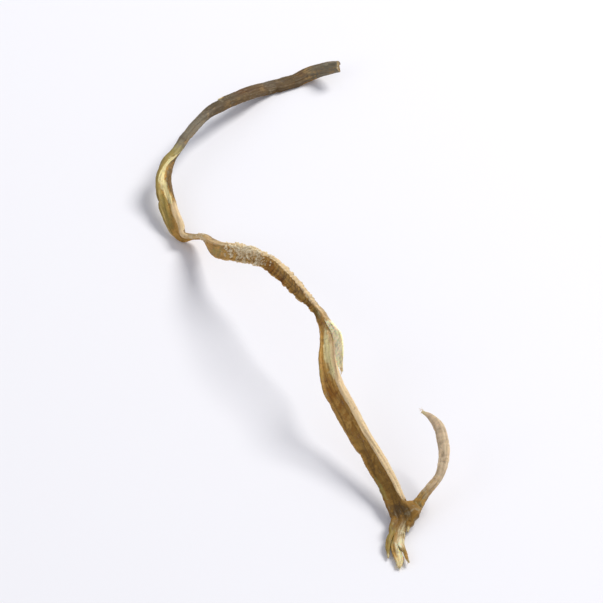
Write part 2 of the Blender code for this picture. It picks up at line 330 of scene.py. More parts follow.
# %% Relief on the straightened strip
# Waves per millimetre along, across and up, and a seed that picks one noise of many
LONG_CORDS = ((0.16, 2.2, 2.2), 3.1)
FINE_CORDS = ((0.35, 4.6, 4.6), 17.4)
RIBS_ACROSS = ((2.1, 0.30, 0.30), 53.9)
SWELLS = ((0.9, 1.2, 1.2), 29.8)
GRIT = ((3.4, 4.5, 4.5), 41.2)
RIM_LUMPS = ((2.3, 0.7, 0.7), 67.5)
CORD_GAIN = 2.6        # higher makes the cords' tops flatter and the creases thinner

# Heights in millimetres
LONG_HEIGHT = 0.085
FINE_HEIGHT = 0.035
RIB_HEIGHT = 0.075
SWELL_HEIGHT = 0.035
GRIT_HEIGHT = 0.020
LUMP_HEIGHT = 0.060
CORD_LEVEL = 0.6       # the part of a cord's height that is below the plain outline
RIB_LEVEL = 0.7

# How dark the painted shade in the creases is, and up to what part of a cord's height it reaches
LONG_CREASE_SHADE = (0.8, 0.22)
FINE_CREASE_SHADE = (0.4, 0.25)
RIB_CREASE_SHADE = (1.0, 0.45)


def noise_at(places, scale, seed):
    """Smooth noise from -1 to 1. The scale is how many waves fit a millimetre each way."""
    return np.array([noise.noise(Vector(place)) for place in places * scale + seed])


def cords(places, scale, seed):
    """Soft cords, 1 at their tops, with sharp creases of 0 between them."""
    return np.clip(np.abs(noise_at(places, scale, seed)) * CORD_GAIN, 0, 1)


def crease_shade_in(cord, darkness, up_to):
    """Painted shade in the creases beside a cord, darkest where the cord is 0 and gone at that part of
    its height.
    """
    return darkness * np.clip(1 - cord / up_to, 0, 1)


def outward(flat):
    """Unit directions out of a closed outline at each of its points."""
    step = np.roll(flat, -1, axis=0) - np.roll(flat, 1, axis=0)
    step /= np.maximum(np.linalg.norm(step, axis=1), 1e-6)[:, None]
    return np.stack([step[:, 1], -step[:, 0]], axis=1)


def relief(places, rim, lumpiness, ribbing):
    """Height in millimetres at each place, and how much painted shade the creases put there, from 0 to
    1.
    """
    long_cords = cords(places, *LONG_CORDS)
    fine_cords = cords(places, *FINE_CORDS)
    ribs = cords(places, *RIBS_ACROSS)
    height = LONG_HEIGHT * (long_cords - CORD_LEVEL) + FINE_HEIGHT * (fine_cords - CORD_LEVEL)
    height += ribbing * RIB_HEIGHT * (ribs - RIB_LEVEL)
    height += SWELL_HEIGHT * noise_at(places, *SWELLS)
    height += GRIT_HEIGHT * noise_at(places, *GRIT)
    height += rim * lumpiness * LUMP_HEIGHT * noise_at(places, *RIM_LUMPS)
    # The creases get painted shade, darkest at their bottoms
    crease_shade = crease_shade_in(long_cords, *LONG_CREASE_SHADE) + crease_shade_in(fine_cords, *FINE_CREASE_SHADE)
    crease_shade += ribbing * crease_shade_in(ribs, *RIB_CREASE_SHADE)
    return height, np.clip(crease_shade, 0, 1)


along_face = np.array([[distance, 0.0, USUAL[2] / 2] for distance in np.arange(0.0, ALONG[-1])])
heights = relief(along_face, 0.0, 0.0, 0.0)[0]
print("relief along the face from", round(heights.min(), 3), "to", round(heights.max(), 3), "mm")

# %% [markdown]
# ## Where the strip is ragged
#
# The two edges were cut by hand and dried unevenly, so each wanders by itself. Small bites are
# missing where the strip was pinched or torn. A Displace modifier would move face and back as well.
# Here only the width changes, by one number for each edge: two waves of noise, less the bites.

# %% Edges that wander, and bites
# Height in millimetres, waves per millimetre, seed
EDGE_WAVES = (
    (0.075, (0.32, 1.0, 1.0), 5.3),
    (0.045, (1.1, 1.0, 1.0), 11.7),
)
EDGES_APART = 9.0    # in the noise, so that the two edges differ

# Distance, side (1 is left of the way the strip runs), depth, length
BITES = (
    (6.3, -1, 0.10, 0.5),
    (13.2, 1, 0.20, 1.6),
    (19.6, -1, 0.10, 0.4),
    (26.0, -1, 0.08, 0.5),
    (38.2, -1, 0.12, 0.5),
    (43.1, 1, 0.10, 0.4),
    (47.4, -1, 0.12, 0.5),
    (51.9, -1, 0.10, 0.6),
    (61.0, -1, 0.05, 0.6),
    (66.6, -1, 0.06, 0.5),
    (74.0, -1, 0.12, 0.4),
    (76.6, 1, 0.10, 0.3),
)


def edge_change(distance, side):
    """How far the edge on that side stands out or in, in millimetres."""
    place = np.array([[distance, side * EDGES_APART, 0.0]])
    change = sum(height * noise_at(place, scale, seed)[0] for height, scale, seed in EDGE_WAVES)
    for middle, bitten_side, depth, length in BITES:
        if bitten_side == side:
            change -= depth * math.exp(-((distance - middle) / (length / 2)) ** 2)
    return change


def ragged(flat, distance):
    """The outline with each edge moved. The middle stays, and the rest moves in proportion."""
    moved = flat.copy()
    half = np.abs(flat[:, 0]).max()
    for side in (1, -1):
        here = flat[:, 0] * side > 0
        moved[here, 0] *= 1 + edge_change(distance, side) / half
    return moved


print(len(BITES), "bites; at the usual place the edges move by",
      [round(edge_change(USUAL[0], side), 3) for side in (1, -1)], "mm")

# %% [markdown]
# ## Point values for the finishes
#
# The finishes need to know where they are: on a rim, in the channel, on the back, on a torn face or
# in the creases, which get painted shade. Painting that on a picture would need an unwrapping. Here
# each point stores plain numbers, and the materials read them by name. Most patches of colour are
# soft ovals: each row says where its middle is, how far it reaches and how strong it is. A few paint
# shade on a side turned from the light, and a few a highlight along a lit ridge.

# %% Values stored at each point
VALUES = ("rim", "back", "torn", "crease_shade", "shade", "salt", "rust", "olive", "amber", "grey", "pale_and_highlight",
          "umber_and_shade", "flake", "bleached")

# What shows: middle distance, half length, middle across (-1 to 1), half width, strength
WHOLE = 9.0          # a half width that takes in the whole width
PATCHES = {
    "grey": (
        (1.0, 3.0, 0.0, WHOLE, 0.8), (6.6, 1.2, 0.4, 0.9, 0.9), (12.6, 2.0, 0.6, 1.2, 0.9),
        (17.0, 3.5, 0.0, WHOLE, 1.0), (19.8, 1.6, 0.0, WHOLE, 0.9),
    ),
    "rust": (
        (3.6, 1.4, 0.3, 1.2, 0.45), (8.2, 0.9, -0.1, 0.9, 0.7), (10.3, 1.1, 0.4, 0.8, 1.0),
        (47.2, 2.2, -0.4, 0.8, 0.4), (53.2, 0.6, -0.1, 0.7, 0.6), (54.2, 0.5, 0.3, 0.4, 0.5),
        (66.6, 2.0, -0.1, 0.6, 0.35), (72.8, 1.0, 0.1, 0.8, 0.4),
    ),
    "umber_and_shade": (
        (2.8, 1.2, 0.0, WHOLE, 0.3), (5.4, 1.6, -0.1, WHOLE, 1.0), (9.0, 2.4, 0.0, WHOLE, 0.9),
        # The rows at 22.9 and 25.0 mm paint shade on a side turned from the light; the others are dark
        # brown patches
        (13.6, 2.6, 0.0, WHOLE, 0.9), (22.9, 1.8, 0.65, 0.50, 1.0), (25.0, 1.6, 0.95, 0.30, 1.0),
        (41.6, 1.4, -0.7, 0.35, 0.4), (73.6, 1.5, 0.0, 1.1, 0.7),
    ),
    "olive": (
        (24.2, 3.8, -0.95, 0.60, 1.0), (21.4, 1.4, 0.0, WHOLE, 0.4), (27.2, 2.6, -0.4, 0.8, 0.9),
        (36.2, 1.4, -0.2, 0.9, 0.7), (51.7, 1.0, -0.2, 0.9, 0.75), (57.6, 2.6, -0.95, 0.4, 0.9),
        (70.6, 2.0, -0.75, 0.5, 0.7), (76.8, 1.6, -0.8, 0.5, 1.0),
    ),
    "pale_and_highlight": (
        # The rows from 22.0 to 26.3 mm and at 55.9 and 58.4 mm paint a highlight along a lit ridge; the
        # row at 51.8 mm is a pale patch of the strip
        (22.0, 1.3, -0.60, 0.28, 1.0), (23.4, 1.0, -0.40, 0.26, 1.0), (24.4, 0.9, -0.10, 0.26, 1.0),
        (25.3, 0.9, 0.22, 0.24, 1.0), (26.3, 0.8, 0.52, 0.24, 1.0), (51.8, 1.1, 0.3, 0.6, 0.5),
        (55.9, 2.0, 0.1, 0.55, 1.0), (58.4, 1.4, 0.45, 0.35, 0.8),
    ),
    "amber": (
        (34.6, 1.2, -0.1, 0.8, 0.3), (44.2, 1.2, -0.3, 0.8, 1.0), (46.4, 1.6, -0.8, 0.5, 0.7),
        (60.2, 1.4, -0.15, 0.6, 0.9), (63.4, 2.4, -0.1, 0.7, 0.55),
    ),
    "salt": (
        (40.8, 2.2, 0.3, 1.1, 1.0), (33.6, 1.0, 0.6, 0.8, 0.15), (55.0, 1.4, 0.9, 0.4, 0.12),
    ),
    "flake": (
        (78.0, 2.4, 0.4, 0.6, 1.0),
    ),
}
RIM_BORDER = 0.08    # over which a rim's colour fades into the channel, in millimetres
RIM_RISE = 0.5       # over which it fades down the strip's side, as a part of half the thickness
RIM_LOW = -0.90      # and where that fade ends
BACK_FADE = 0.25     # over which the back's colour fades up the side, in millimetres


def patches(kind, distance, across):
    """How strongly the patches of one kind show at each point, from 0 to 1."""
    shown = np.zeros(len(across))
    for middle, half_length, centre, half_width, strength in PATCHES[kind]:
        along_part = math.exp(-((distance - middle) / half_length) ** 2)
        shown += strength * along_part * np.exp(-((across - centre) / half_width) ** 2)
    return np.clip(shown, 0, 1)


def point_values(distance, flat, size, crease_shade, torn):
    """The values of one ring of points of that width and thickness."""
    half = size[0] / 2
    across = flat[:, 0] / half
    left = np.clip((flat[:, 0] - half + station(RIM_LEFT, distance)) / RIM_BORDER + 0.5, 0, 1)
    right = np.clip((-flat[:, 0] - half + station(RIM_RIGHT, distance)) / RIM_BORDER + 0.5, 0, 1)
    on_top = np.clip((flat[:, 1] / (size[1] / 2) - RIM_LOW) / RIM_RISE, 0, 1)
    found = {kind: patches(kind, distance, across) for kind in PATCHES}
    found["rim"] = on_top * np.maximum(left * station(PALE_LEFT, distance),
                                       right * station(PALE_RIGHT, distance))
    found["back"] = np.clip(0.5 - flat[:, 1] / BACK_FADE, 0, 1)
    found["torn"] = torn
    # Painted shade from the creases
    found["crease_shade"] = crease_shade
    found["shade"] = np.full(len(flat), station(SHADE, distance))
    found["bleached"] = np.zeros(len(flat))
    return found


print(sum(len(rows) for rows in PATCHES.values()), "patches,", len(VALUES), "values at each point")

# %% [markdown]
# ## Building the surface
#
# The surface is one closed skin. Rings of points are joined by faces. At a tear, the ring is parted
# by a bridge: the points outside it go on as a tine, and the rest, closed by the bridge, go on as the
# strip. That keeps the strip and its tines one body, with no pieces pushed through each other. The
# arm grows from a hole left in the strip's edge, whose border is its first ring.

# %% The surface that is being built
class Skin:
    """Points, faces and point values of one closed surface, in millimetres."""

    def __init__(self):
        self.points = []
        self.faces = []
        self.places = []
        self.values = {name: [] for name in VALUES}

    def add(self, points, places, values):
        """Add points with their places and values, and return the numbers that they got."""
        first = len(self.points)
        self.points.extend(points.tolist())
        self.places.extend(places.tolist())
        for name in VALUES:
            self.values[name].extend(values[name].tolist())
        return list(range(first, len(self.points)))

    def join(self, loop, following, left_open=()):
        """Join two loops by faces of four corners, except those that start at the points left open."""
        for k in range(len(loop)):
            if k not in left_open:
                after = (k + 1) % len(loop)
                self.faces.append((loop[k], loop[after], following[after], following[k]))

    def close(self, loop, tip, place):
        """Close a tip to one point."""
        values = {name: np.array([self.values[name][loop[0]]]) for name in VALUES}
        middle = self.add(np.array([tip]), np.array([place]), values)[0]
        for k in range(len(loop)):
            self.faces.append((loop[k], loop[(k + 1) % len(loop)], middle))


def laid(flat, set_on):
    """Points of an outline set in space, on a frame of middle, face direction and side direction."""
    middle, face, side = set_on
    return middle + flat[:, :1] * side + flat[:, 1:] * face


def strip_places(distance, flat):
    """Where an outline's points are on the straightened strip: along, across and up."""
    return np.column_stack([np.full(len(flat), distance), flat])


def smooth_step(value):
    """0 up to 0, 1 from 1 on, and a soft rise in between."""
    value = np.clip(value, 0.0, 1.0)
    return value * value * (3 - 2 * value)


print("each point of the skin keeps its place and these values:", ", ".join(Skin().values))

# %% [markdown]
# ### Parting a ring
#
# A tear starts at a point and runs lengthwise between two fibres, so both sides of it have a raw,
# flat flank. Two overlapping solids and a Boolean modifier could make that, but the seam would cut
# through the wrinkles. Here the ring at the start of the tear is parted by a straight bridge of new
# points. What lies outside the tear and what lies inside are closed loops then, and each is swept on
# by itself.

# %% Parting a ring where a tine leaves
def part_loop(skin, loop, flat, set_on, distance, side_of_strip, tear, rawness):
    """Part one ring of the strip by a bridge: the tine's loop and outline, and the strip's."""
    edge = np.abs(flat[:, 0]).max()
    outside = [k for k in range(len(loop)) if flat[k, 0] * side_of_strip > tear * edge]
    # The ring may start in the middle of these points, so they are turned to start at the tear
    while (outside[0] - 1) % len(loop) in outside:
        outside = outside[-1:] + outside[:-1]
    first = (outside[0] - 1) % len(loop)
    last = (outside[-1] + 1) % len(loop)
    parts = np.linspace(0.0, 1.0, len(outside) + 2)[1:-1, None]
    bridge_flat = flat[first] * (1 - parts) + flat[last] * parts
    values = {name: np.zeros(len(outside)) for name in VALUES}
    values["torn"] = np.full(len(outside), rawness)
    bridge = skin.add(laid(bridge_flat, set_on), strip_places(distance, bridge_flat), values)
    tine_loop = [loop[first], *(loop[k] for k in outside), loop[last], *reversed(bridge)]
    tine_flat = np.vstack([flat[first], flat[outside], flat[last], bridge_flat[::-1]])
    strip_loop = list(loop)
    strip_flat = flat.copy()
    for k, point, row in zip(outside, bridge, bridge_flat):
        strip_loop[k] = point
        strip_flat[k] = row
    bridged = np.zeros(len(loop))
    bridged[outside] = rawness
    return tine_loop, tine_flat, strip_loop, strip_flat, bridged


print("tears at", [tine[0] for tine in TINES.values()], "mm along the strip")

# %% [markdown]
# ### Growing a tine
#
# A tine leaves the strip with the outline that the tear gave it: a rim, a part of the back and the
# raw flank. Then it dries to a thin thread or a flap with round edges. A curve object with a bevel
# would keep one outline all along. So each ring is the torn outline, turned little by little into a
# rounded one and stretched to the width and thickness that the route asks for. The strip's own
# point values fade out over the tine's first millimetre, so that no border shows at its root.

# %% Growing a tine
TINE_ROUNDING = 1.4    # length over which a tine's cut corners round off
TINE_ROUNDNESS = 0.7
TINE_RIBS = 0.4        # how strong the ribs across it are
TINE_FULL_RELIEF = 0.5   # thickness from which it has its whole relief
TIP_LENGTH = 0.3       # of its closing tip, as a part of its width
ROOT_FADE = 1.1        # length over which the strip's own values fade out of a tine
BLEACH_FADE = 5.0      # length over which a bleached tine turns pale
FRAY = 0.8             # length of the fibrous end of its tip

# The colours that the drying left on each tine, as strengths from 0 to 1
TINTS = {
    "notch": {"grey": 0.7},
    "flap": {"flake": 1.0, "pale_and_highlight": 0.7},
    "arm": {"bleached": 1.0, "olive": 0.5, "shade": 0.4},
    "corner": {"olive": 0.5, "shade": 0.8},
    "left_tip": {"olive": 0.8, "shade": 0.7},
    "right_tip": {"olive": 0.5, "shade": 0.5},
}
RAWNESS = {"notch": 0.2, "flap": 0.7, "corner": 0.2, "left_tip": 0.5, "right_tip": 0.8}
TIPS = {}              # each tine's last middle, heading, face direction, side direction and width


def rounded(shape):
    """Each point of a tine's outline moved onto a rounded one, along its own direction."""
    angle = np.arctan2(shape[:, 1], shape[:, 0])
    ring = np.stack([squared(np.cos(angle), TINE_ROUNDNESS), squared(np.sin(angle), TINE_ROUNDNESS)], 1)
    return ring / 2


def tine_values(tints, root_values, own, crease_shade, frayed):
    """The values of one ring of a tine: its root's, fading into its own."""
    found = {name: tints.get(name, 0.0) * own + root_values[name] * (1 - own) for name in VALUES}
    found["crease_shade"] = crease_shade * own + root_values["crease_shade"] * (1 - own)
    found["torn"] = np.maximum(root_values["torn"], frayed)
    return found


def grow_tine(skin, name, loop, flat, set_on, leaves, route):
    """Sweep a tine from the loop where it leaves the strip to its thin tip."""
    middle = (flat.max(axis=0) + flat.min(axis=0)) / 2
    extent = flat.max(axis=0) - flat.min(axis=0)
    shape = (flat - middle) / extent
    round_shape = rounded(shape)
    root_places = np.array([skin.places[k] for k in loop])
    root_values = {value: np.array([skin.values[value][k] for k in loop]) for value in VALUES}
    start = laid(middle[None, :], set_on)[0]
    face = set_on[1]
    knots = np.vstack([[*start, *extent], route])
    along = chord_lengths(knots[:, :3])
    distances = ring_distances(along[-1])
    rows = curve(knots, along, distances)
    for k in range(1, len(rows)):
        heading = rows[k, :3] - rows[k - 1, :3]
        heading /= np.linalg.norm(heading)
        face = face - (face @ heading) * heading
        face /= np.linalg.norm(face)
        here = (rows[k, :3], face, np.cross(face, heading))
        turned = smooth_step(distances[k] / TINE_ROUNDING)
        drawn = (shape * (1 - turned) + round_shape * turned) * rows[k, 3:]
        own = smooth_step(distances[k] / ROOT_FADE)
        places = strip_places(leaves + distances[k], drawn + middle) * own + root_places * (1 - own)
        height, crease_shade = relief(places, 0.0, 0.0, TINE_RIBS)
        thin = min(1.0, rows[k, 4] / TINE_FULL_RELIEF)
        drawn = drawn + outward(drawn) * (height * own * thin)[:, None]
        frayed = smooth_step(1 - (along[-1] - distances[k]) / FRAY)
        values = tine_values(TINTS[name], root_values, own, crease_shade, frayed)
        values["bleached"] *= smooth_step(distances[k] / BLEACH_FADE)
        following = skin.add(laid(drawn, here), places, values)
        skin.join(loop, following)
        loop = following
    skin.close(loop, rows[-1, :3] + heading * rows[-1, 3] * TIP_LENGTH, places[0])
    TIPS[name] = (rows[-1, :3], heading, *here[1:], rows[-1, 3])


print("tines to grow:", sorted(TINTS))

# %% [markdown]
# ### Growing the arm
#
# The arm doesn't part from the strip. It springs from the strip's edge, like a shoot, and bends back
# beside it. So a few rings leave their faces out at that edge, and the border of the hole, walked
# round once, is the arm's first loop. From there it grows as a tine does.

# %% Growing the arm
ARM_REACH = 5          # points of the outline that the arm's root takes, up and down from the edge


def grow_arm(skin, rings, heading, face):
    """Sweep the arm from the hole that the rings have in the strip's edge."""
    top = [ring[ARM_REACH] for ring in rings]
    bottom = [ring[-ARM_REACH] for ring in rings]
    upper_end = [rings[0][k] for k in range(-ARM_REACH, ARM_REACH)]
    lower_end = [rings[-1][k] for k in range(ARM_REACH, -ARM_REACH, -1)]
    loop = [*upper_end, *top[:-1], *lower_end, *bottom[:0:-1]]
    points = np.array([skin.points[k] for k in loop])
    middle = points.mean(axis=0)
    flat = np.stack([(middle - points) @ heading, (points - middle) @ face], axis=1)
    grow_tine(skin, "arm", loop, flat, (middle, face, -heading), ARM_FROM, ARM_ROUTE)


arm_length = chord_lengths(np.array(ARM_ROUTE)[:, :3])[-1]
print("the arm is", round(arm_length, 1), "mm long, from", 2 * ARM_REACH, "points of the edge")

# %% [markdown]
# ### The cut end
#
# The blunt end was cut straight across while the stalk was fresh. Since then its core has sunk a
# little below the rind and opened in small pits. One flat face would close the ring, but it would
# have no points inside to move. So the end is a grid: its first row is the face's half of the ring,
# its last row is the back's half, and the rows between sink and take their pits from noise.

# %% Closing the cut end
END_EDGES = ((0.02, 0.02, 0.2), (0.05, 0.035, 0.45))   # inset and rise in millimetres, how torn
END_LAYERS = 9
END_CREASE = 0.1       # how dark its rounded edge is
END_SINK = 0.03        # the core's shrinking below the rind, in millimetres
SINK_STEEPNESS = 6.4   # how soon the core is that deep, going in from the rind
PITS = ((1.0, 6.5, 6.5), 71.0)
PIT_DEPTH = 0.05       # in millimetres
CORE_CREASE = 0.15     # how dark the core is outside its pits
PIT_SHADE = 2.5       # how much darker a deep pit is
TORN_SHARE = 0.4       # how much of a fibre's colour the cut shows where it is fully torn
END_COLOURS = {"shade": 0.5, "grey": 0.7}


def end_values(count, torn, crease_shade):
    values = {name: np.full(count, END_COLOURS.get(name, 0.0)) for name in VALUES}
    values["torn"] = np.full(count, torn * TORN_SHARE)
    values["crease_shade"] = np.broadcast_to(crease_shade, count)
    return values


def close_cut_end(skin, loop, flat, set_on, heading):
    """A rounded edge and a pitted, sunken face across the blunt end."""
    direction = outward(flat)
    last_loop = loop
    for inset, rise, torn in END_EDGES:
        drawn = flat - direction * inset
        middle = set_on[0] - heading * rise
        values = end_values(len(flat), torn, END_CREASE)
        inner = skin.add(laid(drawn, (middle, *set_on[1:])), strip_places(0.0, drawn), values)
        skin.join(inner, last_loop)
        last_loop = inner
    half = len(flat) // 2
    back = [0, *range(len(flat) - 1, half - 1, -1)]
    rows = [last_loop[:half + 1]]
    for layer in range(1, END_LAYERS):
        part = layer / END_LAYERS
        inner_flat = (drawn[:half + 1] * (1 - part) + drawn[back] * part)[1:-1]
        pits = np.maximum(noise_at(strip_places(0.0, inner_flat), *PITS), 0.0)
        sink = END_SINK * min(1.0, SINK_STEEPNESS * part * (1 - part)) + PIT_DEPTH * pits
        points = laid(inner_flat, set_on) - heading * (rise - sink)[:, None]
        # Painted shade in the pits, darker as a pit is deeper
        crease_shade = np.clip(CORE_CREASE + pits * PIT_SHADE, 0, 1)
        values = end_values(len(inner_flat), 1.0, crease_shade)
        made = skin.add(points, strip_places(0.0, inner_flat), values)
        rows.append([last_loop[0], *made, last_loop[half]])
    rows.append([last_loop[k] for k in back])
    for upper, lower in zip(rows[:-1], rows[1:]):
        for k in range(half):
            corners = (upper[k], lower[k], lower[k + 1], upper[k + 1])
            skin.faces.append(tuple(dict.fromkeys(corners)))


print("the cut end has", END_LAYERS - 1, "rows of points inside its", len(END_EDGES), "edge loops")

# %% [markdown]
# ### One ring of the strip
#
# Each ring of the strip has its outline, its ragged edges and its relief. After a tear it starts from
# the parted outline and rounds off, as a drying core does. The same relief all along would be
# simpler, but it would push the skin through itself at the sharp fold and where the strip is thin.
# So it calms down there.

# %% One ring of the strip
HEAL = 2.0             # length over which the strip rounds off after a tear
RAW_FADE = 3.2         # length over which the raw flank of a tear turns into skin
FRAYED_FROM = 77.5     # where the strip's own end starts to turn fibrous
FRAYED_OVER = 2.5      # and over what length it does
FOLD_AT = 31.6         # where the strip folds over sharply
FOLD_HALF = 2.2
FOLD_CALM = 0.6        # part of the relief that is lost at the fold
FULL_RELIEF = 0.6      # thickness from which the strip has its whole relief
LAST_TIP = 0.3         # length of the point that closes the strip


def wrinkled(flat, distance, size):
    """The outline of one ring with its relief, and how much painted shade the creases give each point.
    """
    rim = np.clip(np.abs(flat[:, 0]) / (size[0] / 2) * 2 - 1, 0, 1)
    calm = 1 - FOLD_CALM * math.exp(-((distance - FOLD_AT) / FOLD_HALF) ** 2)
    calm *= min(1.0, size[1] / FULL_RELIEF)
    height, crease_shade = relief(strip_places(distance, flat), rim, station(LUMPS, distance),
                            station(RIBS, distance))
    return flat + outward(flat) * (height * calm)[:, None], crease_shade


def rawness_at(distance, torn_at, bridged):
    """How torn a ring is: behind a tear, and more and more towards the frayed end."""
    healing = bridged * (1 - smooth_step((distance - torn_at) / RAW_FADE))
    return np.maximum(healing, smooth_step((distance - FRAYED_FROM) / FRAYED_OVER))


first_outline = outline(ANGLES, *USUAL)
moved = np.abs(wrinkled(first_outline, USUAL[0], USUAL[1:])[0] - first_outline).max()
print("at the usual place the relief moves a point by up to", round(moved, 3), "mm")

# %% [markdown]
# ### Ring after ring
#
# The loop below walks from the cut end, where the hook begins, to the frayed end. It closes the cut
# end at its first ring, leaves the hole for the arm where that springs, and parts a ring at each
# tear. A tine is grown as soon as its ring is parted, while the torn outline is at hand.

# %% The whole strip
def make_skin():
    """Sweep the strip from its cut end to its frayed end, with all that grows from it."""
    skin = Skin()
    rows = curve(ROUTE, ALONG, RINGS)
    heading, face, side = frames(rows[:, :3], rows[:, TURN])
    loop = None
    torn_at = -HEAL
    torn_flat = np.zeros((AROUND, 2))
    bridged = np.zeros(AROUND)
    arm_side = [k % AROUND for k in range(-ARM_REACH, ARM_REACH)]
    arm_rings = []
    for k, distance in enumerate(RINGS):
        size = (rows[k, WIDTH], rows[k, THICKNESS])
        set_on = (rows[k, :3], face[k], side[k])
        flat = ragged(outline(ANGLES, distance, *size), distance)
        places = strip_places(distance, flat)
        flat, crease_shade = wrinkled(flat, distance, size)
        healed = smooth_step((distance - torn_at) / HEAL)
        flat = flat * healed + torn_flat * (1 - healed)
        values = point_values(distance, flat, size, crease_shade, rawness_at(distance, torn_at, bridged))
        following = skin.add(laid(flat, set_on), places, values)
        if loop is None:
            close_cut_end(skin, following, flat, set_on, heading[k])
        else:
            skin.join(loop, following, arm_side if ARM_FROM < distance <= ARM_TO else ())
        loop = following
        if ARM_FROM <= distance <= ARM_TO:
            arm_rings.append(loop)
        if distance == ARM_TO:
            middle_ring = k - len(arm_rings) // 2
            grow_arm(skin, arm_rings, heading[middle_ring], face[middle_ring])
        for name, (leaves, side_of_strip, tear, route) in TINES.items():
            if leaves == distance:
                tine_loop, tine_flat, loop, torn_flat, bridged = part_loop(
                    skin, loop, flat, set_on, distance, side_of_strip, tear, RAWNESS[name])
                grow_tine(skin, name, tine_loop, tine_flat, set_on, leaves, route)
                torn_at = distance
    skin.close(loop, rows[-1, :3] + heading[-1] * LAST_TIP, places[0])
    TIPS["end"] = (rows[-1, :3], heading[-1], face[-1], side[-1], rows[-1, WIDTH])
    return skin


skin = make_skin()
print("skin:", len(skin.points), "points,", sum(len(face) - 2 for face in skin.faces), "triangles")

# %% [markdown]
# ### From the skin to an object
#
# The skin is still a set of numbers, in millimetres and on the route's own axes. A mesh takes them in
# one call, which is far quicker than adding points one by one. The values go in as attributes.

# %% Mesh and object
def to_model(points):
    """From millimetres on the route's axes to metres in the model, resting on the surface."""
    placed = np.array(points) - ORIGIN
    placed[:, 2] = np.maximum(placed[:, 2], 0.0)
    return placed * MM


def add_to_scene(name, data):
    thing = bpy.data.objects.new(name, data)
    bpy.context.scene.collection.objects.link(thing)
    return thing


def make_object(name, points, faces, smooth=True):
    mesh = bpy.data.meshes.new(name)
    mesh.from_pydata(points.tolist(), [], faces)
    mesh.validate()
    if smooth:
        mesh.shade_smooth()
    return add_to_scene(name, mesh)


def store(thing, name, values):
    """Store a number at each point of an object, to be read by that name."""
    point_value = thing.data.attributes.new(name, "FLOAT", "POINT")
    point_value.data.foreach_set("value", values)


strip = make_object("strip", to_model(skin.points), skin.faces)
for name in VALUES:
    store(strip, name, skin.values[name])
strip_place = strip.data.attributes.new("strip_place", "FLOAT_VECTOR", "POINT")
strip_place.data.foreach_set("vector", np.array(skin.places).ravel())
print("strip:", [round(length / MM, 2) for length in strip.dimensions], "mm")

# %% [markdown]
# ## Torn fibres
#
# Where the strip tore, single fibres stick out. They are far thinner than the strip, and hair curves
# wouldn't reach the exported model, so each is a small tapered tube with its root inside the strip.
# They are scattered by rules, from a seeded draw, at the edges that tore and at the tips.

# %% The shape of one fibre
FIBRE_SIDES = 5
FIBRE_RINGS = 7
FIBRE_TAPER = 0.85     # part of its thickness that a fibre has lost at its tip
NOT_A_HEADING = (0.31, 0.83, 0.47)   # a slanted direction, to find one across a fibre by


def fibre_tube(root, direction, length, thickness, bend):
    """Points and faces of one fibre: a tube that thins to its tip and leans as it goes."""
    parts = np.linspace(0.0, 1.0, FIBRE_RINGS)[:, None]
    middles = root + direction * length * parts + bend * parts ** 2
    across = np.cross(direction, NOT_A_HEADING)
    across /= np.linalg.norm(across)
    other = np.cross(direction, across)
    angles = np.linspace(0, 2 * math.pi, FIBRE_SIDES, endpoint=False)
    ring = np.cos(angles)[:, None] * across + np.sin(angles)[:, None] * other
    points = [middle + ring * thickness / 2 * (1 - FIBRE_TAPER * part)
              for middle, part in zip(middles, parts)]
    last = (FIBRE_RINGS - 1) * FIBRE_SIDES
    faces = [tuple(range(FIBRE_SIDES))[::-1], tuple(range(last, last + FIBRE_SIDES))]
    for low in range(0, last, FIBRE_SIDES):
        for k in range(FIBRE_SIDES):
            after = (k + 1) % FIBRE_SIDES
            faces.append((low + k, low + after, low + FIBRE_SIDES + after, low + FIBRE_SIDES + k))
    return np.vstack(points), faces


def join_shapes(shapes):
    """One list of points and one of faces from many closed shapes."""
    points = []
    faces = []
    first = 0
    for shape_points, shape_faces in shapes:
        points.append(shape_points)
        faces.extend(tuple(first + k for k in face) for face in shape_faces)
        first += len(shape_points)
    return np.vstack(points), faces


print("a fibre has", FIBRE_SIDES * FIBRE_RINGS, "points")

# %% [markdown]
# ### Where the fibres are
#
# A fibre is peeled off lengthwise, so it points along the strip and only a little aside. Its root is
# inside the strip, and its length, thickness and bend are drawn between limits, so that no two are
# alike. The seed makes every run draw the same ones.

# %% Fibres in tufts
FIBRE_SEED = 7
FIBRE_LENGTHS = (0.5, 1.2)           # shortest and longest, as a part of the tuft's length
FIBRE_THICKNESSES = (0.035, 0.075)   # in millimetres
FIBRE_BEND = 0.22                    # how far a tip may lean aside, in millimetres
FIBRE_BENDS = ((-1, 1), (-1, 1), (-0.6, 0.9))   # parts of that along x, y and z, rather up than down
TUFT_HALF = 0.2                      # of the stretch whose heading a tuft takes, in millimetres

# Limits between which a fibre is drawn. Its root: towards the strip's edge as a part of half the
# width, out of its face and along it in millimetres, or at a tip across the width and back from it.
# Its lean: to the side and out of the face.
EDGE_ROOT = ((0.35, 0.8), (-0.15, 0.15), (-0.4, 0.4))
EDGE_LEAN = ((0.1, 1.0), (-0.6, 0.8))
TIP_ROOT = ((-0.5, 0.5), (0.1, 0.5))
TIP_LEAN = ((-1, 1), (-0.7, 0.7))

# Along the edges: the distance, the side of the strip, how many, their length, how far they spread
EDGE_TUFTS = (
    (11.9, 1, 2, 0.4, 0.4),
    (53.6, 1, 6, 0.8, 0.5),
    (54.8, 1, 6, 1.0, 0.9),
    (76.4, -1, 4, 0.5, 0.4),
    (78.0, 1, 4, 0.6, 0.4),
    (79.0, -1, 4, 0.6, 0.4),
    (66.6, -1, 3, 0.3, 0.6),
)
